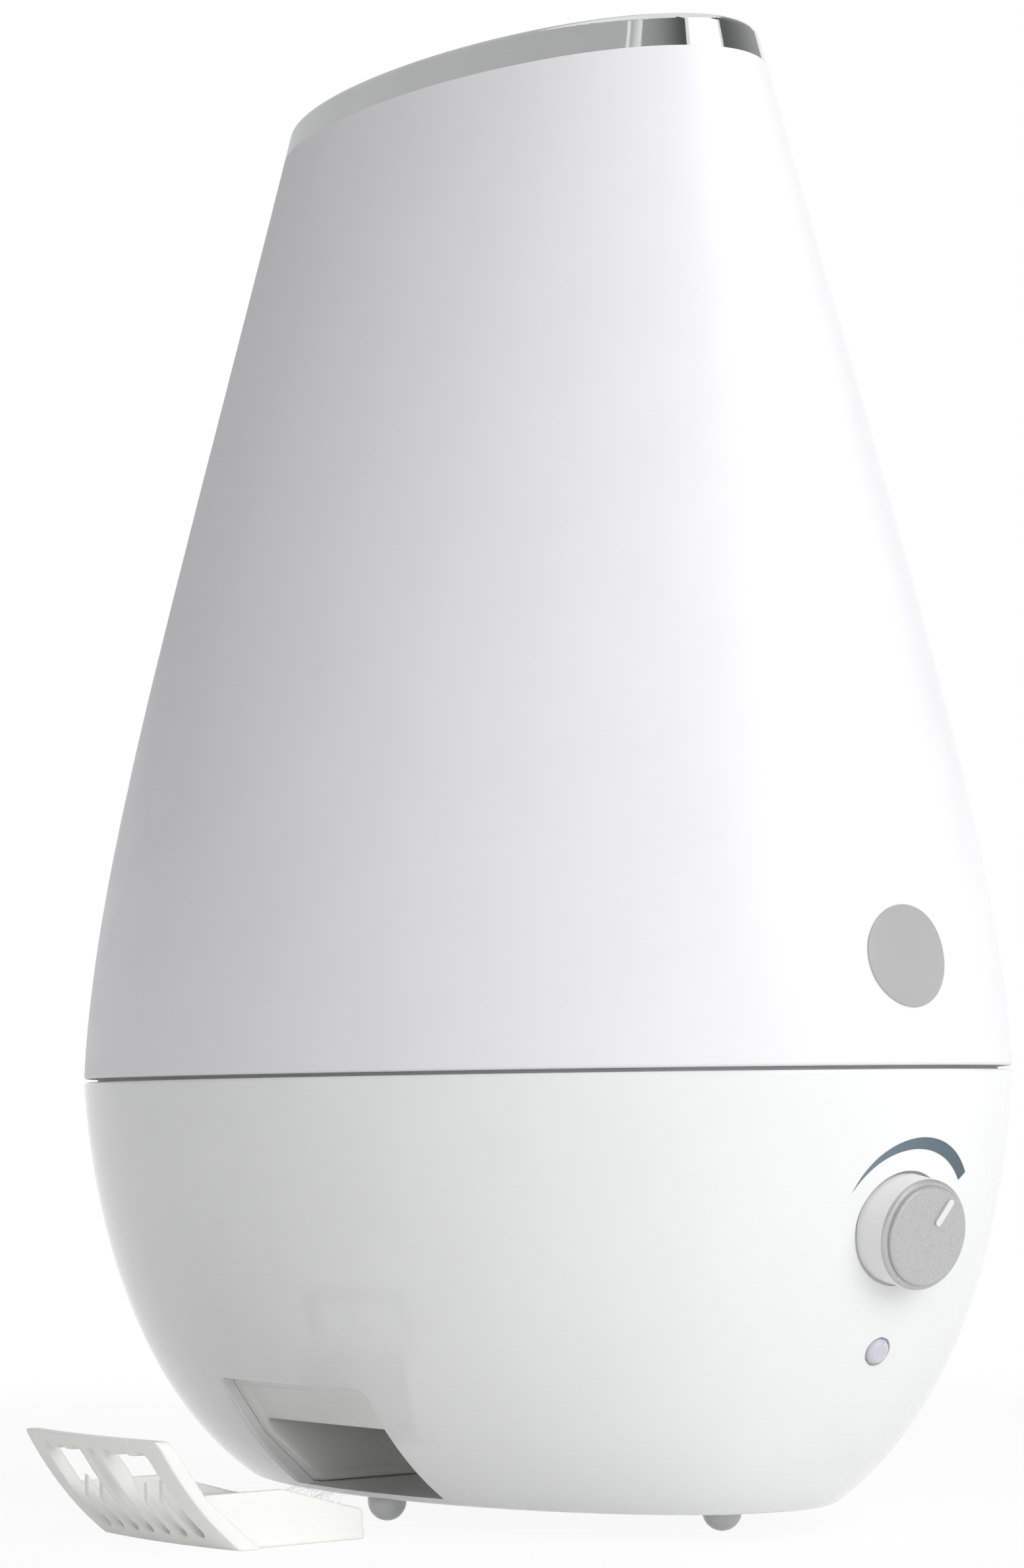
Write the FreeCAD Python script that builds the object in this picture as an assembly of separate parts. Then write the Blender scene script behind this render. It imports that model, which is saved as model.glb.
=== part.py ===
import FreeCAD, Part
import math
import os

# Cool mist humidifier, in millimetres. +Z is up. The knob faces -Y and the air filter drawer
# leaves the base towards -X. The origin is the centre of the flat underside, so the feet reach
# below Z = 0, and every height is counted from the underside.

# ---- Body outline: every level cut is an ellipse, deeper (Y) than wide (X)
overall_height = 337.0
seam_height = 96.5
foot_height = 6.0
belly_half_width = 91.7
top_half_width = 36.2
bottom_half_width = 49.5
depth_extra = 44.5            # half depth minus half width, the same at every height
belly_slope = 0.054           # inward lean of the wall at the seam
belly_rise = 49.2
flank_rise = 137.2
flank_slope = 0.271
bowl_fall = 20.1
bowl_reach = 34.8
bowl_lift = 24.1

# ---- Walls and general clearances
base_wall = 2.6
base_floor = 1.6
tank_wall = 2.4
seam_gap = 0.8
seam_round = 0.7
bottom_round = 2.2
seat = 0.2                    # between curved pieces of one casing
run = 0.4                     # between pieces that move past each other
shaft_fit = 0.05              # between a shaft and the hole it turns in
overrun = 1.0                 # of a cut past the face that it opens
bond = 0.3                    # sunk into the piece it is one with

# ---- Chrome band and top of the tank
ring_height = 8.5
ring_width = 6.0
ring_round = 2.4
ring_inner_round = 1.2
top_cover_step = 2.4          # cover's face above the foot of the chrome band
top_cover_flange = 1.8
nozzle_radius = 24.0
nozzle_height = 4.2
nozzle_wall = 2.0
nozzle_skirt = 9.0
outlet_length = 22.0
outlet_width = 9.0

# ---- Mist chimney and transducer
chimney_y = -40.0
chimney_radius = 17.0
chimney_wall = 1.8
chimney_skirt = 16.0          # below the tank's floor
chimney_flange = 4.0
chimney_flange_thickness = 2.0

# ---- Tank floor, filler neck and cap
deck_drop = 4.0               # deck's top below the seam
tank_floor_thickness = 2.5
collar_height = 5.0
spigot_clearance = 0.6
cap_y = 52.0
neck_radius = 21.0
neck_wall = 2.2
neck_length = 9.0
cap_wall = 2.0
cap_disc = 2.4
cap_hole_radius = 4.5
cap_ribs = 16
cap_rib_radius = 1.2
cap_seal_thickness = 1.5
cage_radius = 8.5
cage_height = 11.5
cage_plate = 1.6
cage_leg = 2.4
cage_leg_depth = 1.4
valve_lift = 3.0
valve_disc_radius = 7.0
valve_disc_thickness = 1.2
valve_seal_thickness = 1.0
valve_stem_radius = 2.2
valve_guide_length = 9.5
spring_wire = 0.7
spring_turns = 4
spring_radius = 4.6

# ---- Basin in the base
basin_floor_height = 60.0
basin_wall = 2.0
basin_inset = 12.0            # basin's wall inside the casing's outline, at the sides
basin_half_depth = 98.0
deck_thickness = 2.4
valve_post_radius = 2.6
riser_length = 30.0
riser_width = 13.0
riser_height = 22.0
float_x = -36.0
float_y = -40.0
float_radius = 11.0
float_height = 9.0
float_post_radius = 3.0
float_travel = 8.0
clip_thickness = 1.4
clip_radius = 5.0
transducer_radius = 10.0
transducer_thickness = 1.3
transducer_grip = 1.2         # of the seal over the disc's edge
transducer_seal_width = 2.0
transducer_seal_height = 2.6
holder_radius = 17.0
holder_thickness = 2.4
holder_screw_circle = 14.2
holder_screw_radius = 1.0
holder_screw_head = 1.8
holder_screw_head_height = 1.2
column_angle = 40.0           # degrees round the outline from the side to a screw column
column_radius = 3.6
deck_screw_radius = 1.5
deck_screw_head = 2.6
deck_screw_head_height = 1.4
deck_screw_length = 12.0

# ---- Underside
cover_half_width = 33.0
cover_half_depth = 60.0
foot_radius = 4.5
foot_inset = 7.5              # from the flat underside's edge to a foot's centre
foot_front_y = 70.0
foot_stem_radius = 2.0
cover_screw_x = 20.0
cover_screw_y = 37.0
cover_screw_radius = 1.4
cover_screw_head = 2.6
cover_screw_length = 7.0
boss_radius = 3.4
boss_height = 4.0

# ---- Air filter drawer
drawer_y = -3.0
panel_width = 54.6
panel_height = 24.7
panel_thickness = 2.8
panel_round = 1.6
panel_gap = 0.5
side_ledge = 2.4
top_ledge = 1.4
tray_floor = 1.5
tray_wall = 1.6
tray_wall_height = 12.3
tray_tail_height = 6.6
tray_length = 36.6
tray_level_length = 21.0      # stretch of wall at full height, from the tail's break forwards
wing_foot = 0.4               # reach of the wings behind the panel, at the walls' top
wing_bulge = 1.4              # and half way up
rail_height = 2.2             # rails along the tray's lower edges
rail_width = 0.6
slot_count = 7
slot_pitch = 6.2
slot_width = 4.3
slot_sill = 2.6
slot_head = 2.7
stub_height = 9.6             # the cut ribs' upper end, above the panel's foot
cusp_height = 1.1             # what is left of them under the panel's head
window_slots = 3
drawer_travel = 52.8
filter_gap = 0.3
filter_thickness = 5.5
duct_wall = 1.5
mouth_round = 0.8             # on the outer edges of the drawer's mouth
ceiling_drop = 8.7            # fall of the sleeve's sloping ceiling
ceiling_reach = 6.8
plenum_height = 44.0          # of the chamber behind the ceiling

# ---- Blower
blower_z = 27.0
blower_radius = 22.0
blower_depth = 19.0
blower_wall = 1.5
intake_radius = 15.0
impeller_radius = 19.0
impeller_gap = 1.0
impeller_blades = 14
blade_thickness = 0.9
blade_length = 5.0
impeller_plate = 1.2
impeller_hub = 4.5
motor_radius = 12.0
motor_depth = 9.0
motor_flange = 3.0            # round the motor's can
motor_flange_thickness = 1.2
motor_shaft_radius = 1.5
motor_shaft_back = 3.0        # from the inlet cover to the shaft's end
blade_angle = 25.0

# ---- Electrics
knob_height = 62.2
knob_upturn = 3.0             # degrees that the knob's axis stands up from square to the wall
knob_radius = 11.9
knob_face_radius = 10.7
knob_proud = 8.0
knob_recess = 2.0
knob_recess_gap = 0.7
knob_face_thickness = 1.0
knob_edge_round = 0.9
knob_wall = 1.6
knob_seat = 5.0
pointer_length = 6.6
pointer_width = 1.5
pointer_height = 0.5
pointer_reach = 9.4           # pointer's outer end from the knob's axis
pointer_angle = 35.0          # degrees clockwise of upright, seen from the front
knob_boss_radius = 16.0
knob_boss_depth = 6.0
pot_shaft_radius = 3.0
pot_bush_radius = 3.6
pot_bush_length = 7.0
pot_body_radius = 8.0
pot_body_depth = 7.0
led_height = 35.9
led_radius = 2.9
led_recess_radius = 3.4
led_dome = 1.0
led_body_radius = 2.5
led_body_length = 6.0
board_thickness = 1.6
board_margin = 2.0            # from a board's edge to the pieces it carries
board_post_radius = 2.2
board_post_inset = 4.0
control_board_width = 24.0
control_board_height = 24.0
control_board_below = 14.0    # reach of the board below the knob's axis
driver_board_x = 46.0
driver_board_y = 34.0
driver_board_z = 16.0
driver_y = -62.0
sink_fins = 6
sink_height = 14.0
sink_length = 22.0
sink_width = 20.0
sink_fin = 1.4
sink_plate = 2.4
power_board_x = 52.0
power_board_y = 40.0
power_board_z = 12.0
power_y = 66.0
transformer_size = 22.0
transformer_core = 6.0
transformer_height = 17.6
capacitor_radius = 5.0
capacitor_height = 18.0
capacitor_spacing = 14.0
gland_height = 36.0
gland_radius = 5.0
gland_collar = 7.0
gland_collar_height = 1.8
gland_bore = 3.2
gland_proud = 4.0
gland_seat = 1.1              # collar's face behind the wall's inner face, on the axis
reed_radius = 1.6
reed_length = 14.0

# ---- Worked out from the above
deck_top = seam_height - deck_drop
tank_floor_low = deck_top + run
tank_floor_high = tank_floor_low + tank_floor_thickness
ring_low = overall_height - ring_height
cover_top = ring_low + top_cover_step
cover_low = ring_low - top_cover_flange
inside_floor = base_floor
reach = 2 * overall_height    # longer than any cut has to be
drawer_low = inside_floor + filter_gap
drawer_drop = drawer_low + foot_height
opening_half = panel_width / 2 + panel_gap
opening_top = drawer_low + panel_height + panel_gap
cage_low = tank_floor_high - neck_length - cap_seal_thickness - run
cap_low = cage_low - cap_disc

X = FreeCAD.Vector(1, 0, 0)
Y = FreeCAD.Vector(0, 1, 0)
Z = FreeCAD.Vector(0, 0, 1)


def vec(x, y, z):
    return FreeCAD.Vector(x, y, z)


def cylinder(radius, low, high, x=0.0, y=0.0):
    """Upright cylinder between two heights."""
    return Part.makeCylinder(radius, high - low, vec(x, y, low), Z)


def rod(radius, start, direction, length):
    return Part.makeCylinder(radius, length, start, direction)


def block(x_low, x_high, y_low, y_high, z_low, z_high):
    return Part.makeBox(x_high - x_low, y_high - y_low, z_high - z_low, vec(x_low, y_low, z_low))


def prism(points, direction):
    """Straight-sided solid from a closed outline."""
    wire = Part.makePolygon(points + [points[0]])
    return Part.Face(wire).extrude(direction)


def ellipse_wire(half_width, half_depth, height):
    """Level ellipse, its long axis along Y."""
    curve = Part.Ellipse(vec(0, half_depth, height), vec(half_width, 0, height), vec(0, 0, height))
    return Part.Wire([curve.toShape()])


def ellipse_slab(half_width, half_depth, low, high):
    return Part.Face(ellipse_wire(half_width, half_depth, low)).extrude(vec(0, 0, high - low))


def level_edges(shape, height):
    """Closed edges of a shape that lie at one height."""
    return [edge for edge in shape.Edges
            if abs(edge.BoundBox.ZMin - height) < 1e-4 and abs(edge.BoundBox.ZMax - height) < 1e-4]


# ---- Outline curves, in the XZ plane
tank_curve = Part.BezierCurve()
tank_curve.setPoles([
    vec(belly_half_width, 0, seam_height),
    vec(belly_half_width - belly_slope * belly_rise, 0, seam_height + belly_rise),
    vec(top_half_width + flank_slope * flank_rise, 0, overall_height - flank_rise),
    vec(top_half_width, 0, overall_height)])

base_curve = Part.BezierCurve()
base_curve.setPoles([
    vec(bottom_half_width, 0, 0),
    vec(bottom_half_width + bowl_reach, 0, bowl_lift),
    vec(belly_half_width - belly_slope * bowl_fall, 0, seam_height - bowl_fall),
    vec(belly_half_width, 0, seam_height)])


def outline_point(curve, step, inset):
    """Half width and height on a curve, moved square to it by the inset."""
    point = curve.value(step)
    along = curve.tangent(step)[0]
    side = vec(-along.z, 0, along.x)
    return point + side * inset


def step_at(curve, height, inset):
    """Curve parameter where the inset outline reaches a height."""
    low = -0.08
    high = 1.08
    for _ in range(50):
        middle = (low + high) / 2
        if outline_point(curve, middle, inset).z < height:
            low = middle
        else:
            high = middle
    return (low + high) / 2


def body_solid(curve, low, high, parts=8):
    """Smooth solid inside the outline between two heights."""
    first = step_at(curve, low, 0)
    last = step_at(curve, high, 0)
    wires = []
    for index in range(parts + 1):
        point = outline_point(curve, first + (last - first) * index / parts, 0)
        wires.append(ellipse_wire(point.x, point.x + depth_extra, point.z))
    return Part.makeLoft(wires, True)


def half_width_at(curve, height, inset=0.0):
    return outline_point(curve, step_at(curve, height, inset), inset).x


def hollow_solid(curve, low, high, inset, parts):
    """Solid for the inside of the body, in straight runs that are the same for every inset."""
    first = step_at(curve, low, inset)
    last = step_at(curve, high, inset)
    apart = 0.2 / parts
    inner = [index / parts for index in range(1, parts)]
    steps = [first] + [step for step in inner if first + apart < step < last - apart] + [last]
    wires = []
    for step in steps:
        point = outline_point(curve, step, inset)
        wires.append(ellipse_wire(point.x, point.x + depth_extra, point.z))
    return Part.makeLoft(wires, True, True)


def tank_inside(low, high, inset):
    return hollow_solid(tank_curve, low, high, inset, 6)


def base_inside(low, high, inset):
    return hollow_solid(base_curve, low, high, inset, 7)


base_outer = body_solid(base_curve, 0, seam_height)


# ---- Places on the base's wall
def wall_point(height, side):
    """Point on the base's wall, at the front (-1) or the rear (1)."""
    return vec(0, side * (half_width_at(base_curve, height) + depth_extra), height)


def wall_out(height, side):
    """Direction square to the base's wall at such a point."""
    along = base_curve.tangent(step_at(base_curve, height, 0))[0]
    return vec(0, side * along.z, -along.x)


knob_point = wall_point(knob_height, -1)
knob_square = wall_out(knob_height, -1)
knob_tilt = math.atan2(-knob_square.z, -knob_square.y) - math.radians(knob_upturn)
knob_out = vec(0, -math.cos(knob_tilt), -math.sin(knob_tilt))
knob_up = vec(0, -math.sin(knob_tilt), math.cos(knob_tilt))
led_point = wall_point(led_height, -1)
led_out = wall_out(led_height, -1)
gland_point = wall_point(gland_height, 1)
gland_out = wall_out(gland_height, 1)
duct_end = -half_width_at(base_curve, drawer_low) + tray_length + run + duct_wall


def knob_place(distance):
    """Point on the knob's axis, counted outwards from the wall's surface."""
    return knob_point + knob_out * distance


def column_places():
    angle = math.radians(column_angle)
    wide = half_width_at(base_curve, deck_top) - (base_wall + basin_inset) / 2
    column_x = wide * math.cos(angle)
    column_y = (wide + depth_extra) * math.sin(angle)
    return [(x * column_x, y * column_y) for x in (-1, 1) for y in (-1, 1)]


def cover_screw_places():
    return [(x * cover_screw_x, y * cover_screw_y) for x in (-1, 1) for y in (-1, 1)]


def foot_places():
    side = bottom_half_width - foot_inset
    return {"left": (-side, 0), "right": (side, 0),
            "front": (0, -foot_front_y), "rear": (0, foot_front_y)}


# ---- Drawer, drawn in its slot
def mouth_block(half, low, top, radius):
    """Bar along X through the base's wall, round at its upper corners."""
    bar = block(-belly_half_width, -base_wall, drawer_y - half, drawer_y + half, low, top)
    corners = [edge for edge in bar.Edges
               if edge.BoundBox.XLength > 1 and edge.BoundBox.ZMin > top - 1e-4]
    return bar.makeFillet(radius, corners)


def behind_panel(height):
    """Place of the panel's back on the drawer's centre line."""
    return -half_width_at(base_curve, height, panel_thickness)


def drawer_side():
    """Side view of the drawer's walls, from the wings behind the panel to the tail."""
    tail = -half_width_at(base_curve, drawer_low) + tray_length
    wall_top = drawer_low + tray_wall_height
    wing_top = opening_top - top_ledge - run
    middle = (wall_top + wing_top) / 2
    sweep = Part.BezierCurve()
    sweep.setPoles([vec(behind_panel(wall_top) + wing_foot, 0, wall_top),
                    vec(behind_panel(middle) + 2 * wing_bulge, 0, middle),
                    vec(behind_panel(wing_top), 0, wing_top)])
    corners = [vec(behind_panel(wing_top), 0, wing_top), vec(-belly_half_width, 0, wing_top),
               vec(-belly_half_width, 0, drawer_low), vec(tail, 0, drawer_low),
               vec(tail, 0, drawer_low + tray_tail_height),
               vec(tail - tray_level_length, 0, wall_top),
               vec(behind_panel(wall_top) + wing_foot, 0, wall_top)]
    edges = [Part.LineSegment(start, end).toShape() for start, end in zip(corners, corners[1:])]
    return Part.Face(Part.Wire([sweep.toShape()] + edges))


def drawer_core(y_low, y_high):
    """Solid of the drawer's side view between two places across it."""
    face = drawer_side()
    face.translate(vec(0, y_low, 0))
    return face.extrude(vec(0, y_high - y_low, 0))


def grille_slots():
    """Row of round-ended slots, their ribs cut back in two windows beside the middle slot."""
    low = drawer_low + slot_sill
    high = drawer_low + panel_height - slot_head
    radius = slot_width / 2
    depth = belly_half_width
    tools = []
    for index in range(slot_count):
        y = drawer_y + (index - (slot_count - 1) / 2) * slot_pitch
        for z in (low + radius, high - radius):
            tools.append(rod(radius, vec(-depth, y, z), X, depth))
        tools.append(block(-depth, 0, y - radius, y + radius, low + radius, high - radius))
    first = drawer_y - (slot_count - 1) / 2 * slot_pitch
    cut_x = -half_width_at(base_curve, drawer_low + stub_height)
    for group_start in (0, slot_count - window_slots):
        y_low = first + group_start * slot_pitch
        y_high = y_low + (window_slots - 1) * slot_pitch
        tools.append(block(-depth, cut_x, y_low, y_high, low, high - cusp_height))
    return tools[0].multiFuse(tools[1:])


def filter_tray():
    half = panel_width / 2
    bar = mouth_block(half, drawer_low, drawer_low + panel_height, panel_round)
    panel = bar.common(base_outer).cut(base_inside(0, seam_height, panel_thickness))
    side = half - side_ledge
    tray = drawer_core(drawer_y - side, drawer_y + side)
    tail = -half_width_at(base_curve, drawer_low) + tray_length
    hollow = block(-belly_half_width, tail - tray_wall, drawer_y - side + tray_wall,
                   drawer_y + side - tray_wall, drawer_low + tray_floor, opening_top)
    tray = tray.cut(hollow)
    rail = drawer_core(drawer_y - side - rail_width, drawer_y + side + rail_width)
    rail = rail.common(block(-belly_half_width, 0, drawer_y - half, drawer_y + half,
                             drawer_low, drawer_low + rail_height))
    tray = tray.fuse(rail.cut(hollow))
    web_y = drawer_y - slot_pitch / 2
    web_half = (slot_pitch - slot_width) / 2
    web = drawer_core(web_y - web_half, web_y + web_half)
    web = web.common(block(-belly_half_width, 0, web_y - web_half, web_y + web_half,
                           drawer_low + tray_wall_height, opening_top))
    behind = base_inside(0, seam_height, panel_thickness)
    return panel.cut(grille_slots()).fuse(tray.fuse(web).common(behind)).removeSplitter()


def filter_pad():
    side = panel_width / 2 - side_ledge - tray_wall - filter_gap
    tail = -half_width_at(base_curve, drawer_low) + tray_length - tray_wall - filter_gap
    low = drawer_low + tray_floor + filter_gap
    pad = block(-belly_half_width, tail, drawer_y - side, drawer_y + side, low, low + filter_thickness)
    behind = base_inside(0, seam_height, panel_thickness + filter_gap)
    return pad.common(behind).common(drawer_core(drawer_y - side, drawer_y + side))


def duct_face(height, across):
    """Place of the sleeve's front face at a height and a distance from the object's middle."""
    wide = half_width_at(base_curve, height, panel_thickness + run)
    return -wide * math.sqrt(1 - (across / (wide + depth_extra)) ** 2)


def filter_duct():
    """Sleeve behind the mouth, then a chamber that the blower draws from.

    The sleeve's front edge is the ledge that the drawer's panel shuts on, and its ceiling
    slopes down to the chamber. Grooves along its foot take the tray's rails.
    """
    half = panel_width / 2 - side_ledge + run
    outer_half = opening_half + duct_wall
    left = drawer_y - half
    right = drawer_y + half
    mouth_top = opening_top - top_ledge
    slope_x = duct_face(mouth_top, abs(drawer_y) + half)
    chamber_x = slope_x + ceiling_reach
    shape = block(-belly_half_width, duct_end, drawer_y - outer_half, drawer_y + outer_half,
                  0, opening_top + duct_wall)
    shape = shape.fuse(block(chamber_x - duct_wall, duct_end, drawer_y - outer_half,
                             drawer_y + outer_half, 0, plenum_height))
    tunnel = prism([vec(-belly_half_width, left, 0), vec(-belly_half_width, left, mouth_top),
                    vec(slope_x, left, mouth_top), vec(chamber_x, left, mouth_top - ceiling_drop),
                    vec(chamber_x, left, 0)], vec(0, right - left, 0))
    chamber = block(chamber_x, duct_end - duct_wall, left, right, 0, plenum_height - duct_wall)
    groove = block(-belly_half_width, duct_end - duct_wall, left - rail_width, right + rail_width,
                   0, drawer_low + rail_height + run)
    intake = rod(intake_radius, vec(duct_end - 2 * duct_wall, drawer_y, blower_z), X, 4 * duct_wall)
    shape = shape.cut(tunnel.fuse(chamber).removeSplitter())
    shape = shape.common(base_inside(inside_floor + seat, deck_top - deck_thickness, base_wall + seat))
    recess = mouth_block(opening_half, 0, opening_top, panel_round + panel_gap)
    shape = shape.cut(recess.cut(base_inside(0, seam_height, panel_thickness + run)))
    return shape.cut(groove).cut(intake)


# ---- Base
def mouth_edges(shell):
    """Outer edges of the drawer's mouth, without the sill."""
    found = []
    for edge in shell.Edges:
        box = edge.BoundBox
        middle = edge.valueAt((edge.FirstParameter + edge.LastParameter) / 2)
        beside = abs(middle.y - drawer_y) < opening_half + seat
        if box.XMax < 0 and beside and inside_floor + bond < box.ZMax < opening_top + bond:
            if base_outer.Shells[0].distToShape(Part.Vertex(middle))[0] < bond / 10:
                found.append(edge)
    return found


def base_shell():
    rim = seam_height - seam_gap / 2
    outer = base_outer.cut(block(-reach, reach, -reach, reach, rim, reach))
    outer = outer.makeFillet(seam_round, level_edges(outer, rim))
    outer = outer.makeFillet(bottom_round, level_edges(outer, 0))
    shell = outer.cut(base_inside(inside_floor, seam_height, base_wall))
    mouth = mouth_block(opening_half, inside_floor, opening_top, panel_round + panel_gap)
    shell = shell.cut(mouth)
    shell = shell.makeFillet(mouth_round, mouth_edges(shell))
    inside = base_inside(inside_floor - bond, seam_height, base_wall - bond)
    added = []
    for x, y in column_places():
        added.append(cylinder(column_radius, 0, deck_top - deck_thickness, x, y).common(inside))
    boss = rod(knob_boss_radius, knob_place(-knob_boss_depth), knob_out, knob_boss_radius)
    added.append(boss.common(inside))
    shell = shell.multiFuse(added)
    behind = 4 * base_wall
    cuts = [ellipse_slab(cover_half_width + seat, cover_half_depth + seat, 0, inside_floor + overrun),
            rod(knob_radius + knob_recess_gap, knob_place(-knob_recess), knob_out, reach),
            rod(pot_bush_radius + seat, knob_place(-knob_boss_depth - overrun), knob_out, reach),
            rod(led_recess_radius, led_point - led_out * led_dome, led_out, reach),
            rod(led_radius + seat / 2, led_point - led_out * behind, led_out, reach),
            rod(gland_radius, gland_point - gland_out * behind, gland_out, reach)]
    for x, y in column_places():
        cuts.append(cylinder(deck_screw_radius, deck_screw_seat() - deck_screw_length, deck_top, x, y))
    for x, y in foot_places().values():
        cuts.append(cylinder(foot_stem_radius, 0, base_floor / 2, x, y))
    for cut in cuts:
        shell = shell.cut(cut)
    return shell


def bottom_cover():
    plate = ellipse_slab(cover_half_width, cover_half_depth, 0, inside_floor)
    for x, y in cover_screw_places():
        plate = plate.fuse(cylinder(boss_radius, 0, inside_floor + boss_height, x, y))
    for x, y in cover_screw_places():
        plate = plate.cut(cylinder(cover_screw_radius, 0, reach, x, y))
        plate = plate.cut(cylinder(cover_screw_head + seat, 0, base_floor, x, y))
    return plate


def foot(x, y):
    middle = foot_radius - foot_height
    ball = Part.makeSphere(foot_radius, vec(x, y, middle))
    ball = ball.common(cylinder(foot_radius, -foot_height, middle, x, y))
    body = cylinder(foot_radius, middle, 0, x, y)
    stem = cylinder(foot_stem_radius, middle, base_floor / 2, x, y)
    return ball.fuse(body).fuse(stem).removeSplitter()


def screw(radius, head, head_height, length, x, y, top):
    """Round-headed screw pointing down from its head's underside at the given height."""
    shank = cylinder(radius, top - length, top, x, y)
    return shank.fuse(cylinder(head, top, top + head_height, x, y))


def basin_slab(inset, low, high):
    wide = half_width_at(base_curve, deck_top) - basin_inset - inset
    return ellipse_slab(wide, basin_half_depth - inset, low, high)


def water_basin():
    shape = base_inside(deck_top - deck_thickness, deck_top, base_wall + seat)
    shape = shape.fuse(basin_slab(0, basin_floor_height - basin_wall, deck_top))
    shape = shape.cut(basin_slab(basin_wall, basin_floor_height, deck_top + overrun))
    post_top = cap_low + cap_disc / 2 - run
    added = [cylinder(valve_post_radius, basin_floor_height, post_top, 0, cap_y),
             cylinder(float_post_radius, basin_floor_height, float_post_top(), float_x, float_y),
             riser(basin_wall, basin_floor_height - basin_wall, basin_floor_height + riser_height)]
    shape = shape.multiFuse(added)
    cuts = [riser(0, 0, basin_floor_height + riser_height + overrun),
            cylinder(transducer_radius + seat, 0, deck_top, 0, chimney_y)]
    for x, y in column_places():
        cuts.append(cylinder(deck_screw_radius + seat, 0, deck_top + overrun, x, y))
        cuts.append(cylinder(deck_screw_head + seat, deck_screw_seat(), deck_top + overrun, x, y))
    for x, y in holder_screws():
        cuts.append(cylinder(holder_screw_radius, 0, basin_floor_height - basin_wall / 3, x, y))
    for cut in cuts:
        shape = shape.cut(cut)
    return shape


def deck_screw_seat():
    return deck_top - deck_screw_head_height - seat


def riser(grow, low, high):
    """Upright duct that carries the blower's air above the water."""
    riser_x = duct_end + seat + blower_wall + blower_depth / 2
    half_x = riser_width / 2 + grow
    half_y = riser_length / 2 + grow
    return block(riser_x - half_x, riser_x + half_x, drawer_y - half_y, drawer_y + half_y, low, high)


def float_post_top():
    return basin_floor_height + float_height + float_travel + 2 * run


def float_ring():
    low = basin_floor_height + run
    shape = cylinder(float_radius, low, low + float_height, float_x, float_y)
    return shape.cut(cylinder(float_post_radius + run, 0, deck_top, float_x, float_y))


def float_clip():
    top = float_post_top()
    stud = cylinder(float_post_radius / 2, top, top + clip_thickness, float_x, float_y)
    return cylinder(clip_radius, top, top + clip_thickness, float_x, float_y).fuse(stud)


def reed_switch():
    start = vec(float_x - reed_length / 2, float_y, basin_floor_height - basin_wall - reed_radius)
    return rod(reed_radius, start, X, reed_length)


def holder_screws():
    angles = [math.radians(90 + 120 * index) for index in range(3)]
    return [(holder_screw_circle * math.cos(a), chimney_y + holder_screw_circle * math.sin(a))
            for a in angles]


def transducer_parts():
    floor = basin_floor_height - basin_wall
    seal_low = floor - transducer_seal_height
    outer = transducer_radius + transducer_seal_width
    middle = floor - transducer_seal_height / 2
    disc_low = middle - transducer_thickness / 2
    disc_high = middle + transducer_thickness / 2
    disc = cylinder(transducer_radius, disc_low, disc_high, 0, chimney_y)
    seal = cylinder(outer, seal_low, floor, 0, chimney_y)
    seal = seal.cut(cylinder(transducer_radius - transducer_grip, 0, reach, 0, chimney_y))
    seal = seal.cut(cylinder(transducer_radius, disc_low, disc_high, 0, chimney_y))
    holder = cylinder(holder_radius, seal_low - holder_thickness, floor, 0, chimney_y)
    holder = holder.cut(cylinder(outer + seat, seal_low, floor, 0, chimney_y))
    holder = holder.cut(cylinder(transducer_radius - transducer_seal_width, 0, reach, 0, chimney_y))
    screws = []
    for x, y in holder_screws():
        holder = holder.cut(cylinder(holder_screw_radius + seat, 0, reach, x, y))
        low = seal_low - holder_thickness
        head = cylinder(holder_screw_head, low - holder_screw_head_height, low, x, y)
        shank = cylinder(holder_screw_radius - seat / 2, low, basin_floor_height - basin_wall / 2, x, y)
        screws.append(head.fuse(shank))
    return {"transducer_disc": disc, "transducer_seal": seal, "transducer_holder": holder,
            "transducer_screws": Part.makeCompound(screws)}


# ---- Blower: its axis lies along X, it draws from the drawer and blows up the riser
def scroll(inset, start, length):
    centre = vec(start, drawer_y, blower_z)
    drum = rod(blower_radius - inset, centre, X, length)
    side = riser_length / 2 - inset
    top = basin_floor_height - basin_wall
    throat = block(start, start + length, drawer_y - side, drawer_y + side, blower_z, top)
    return drum.fuse(throat)


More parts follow.
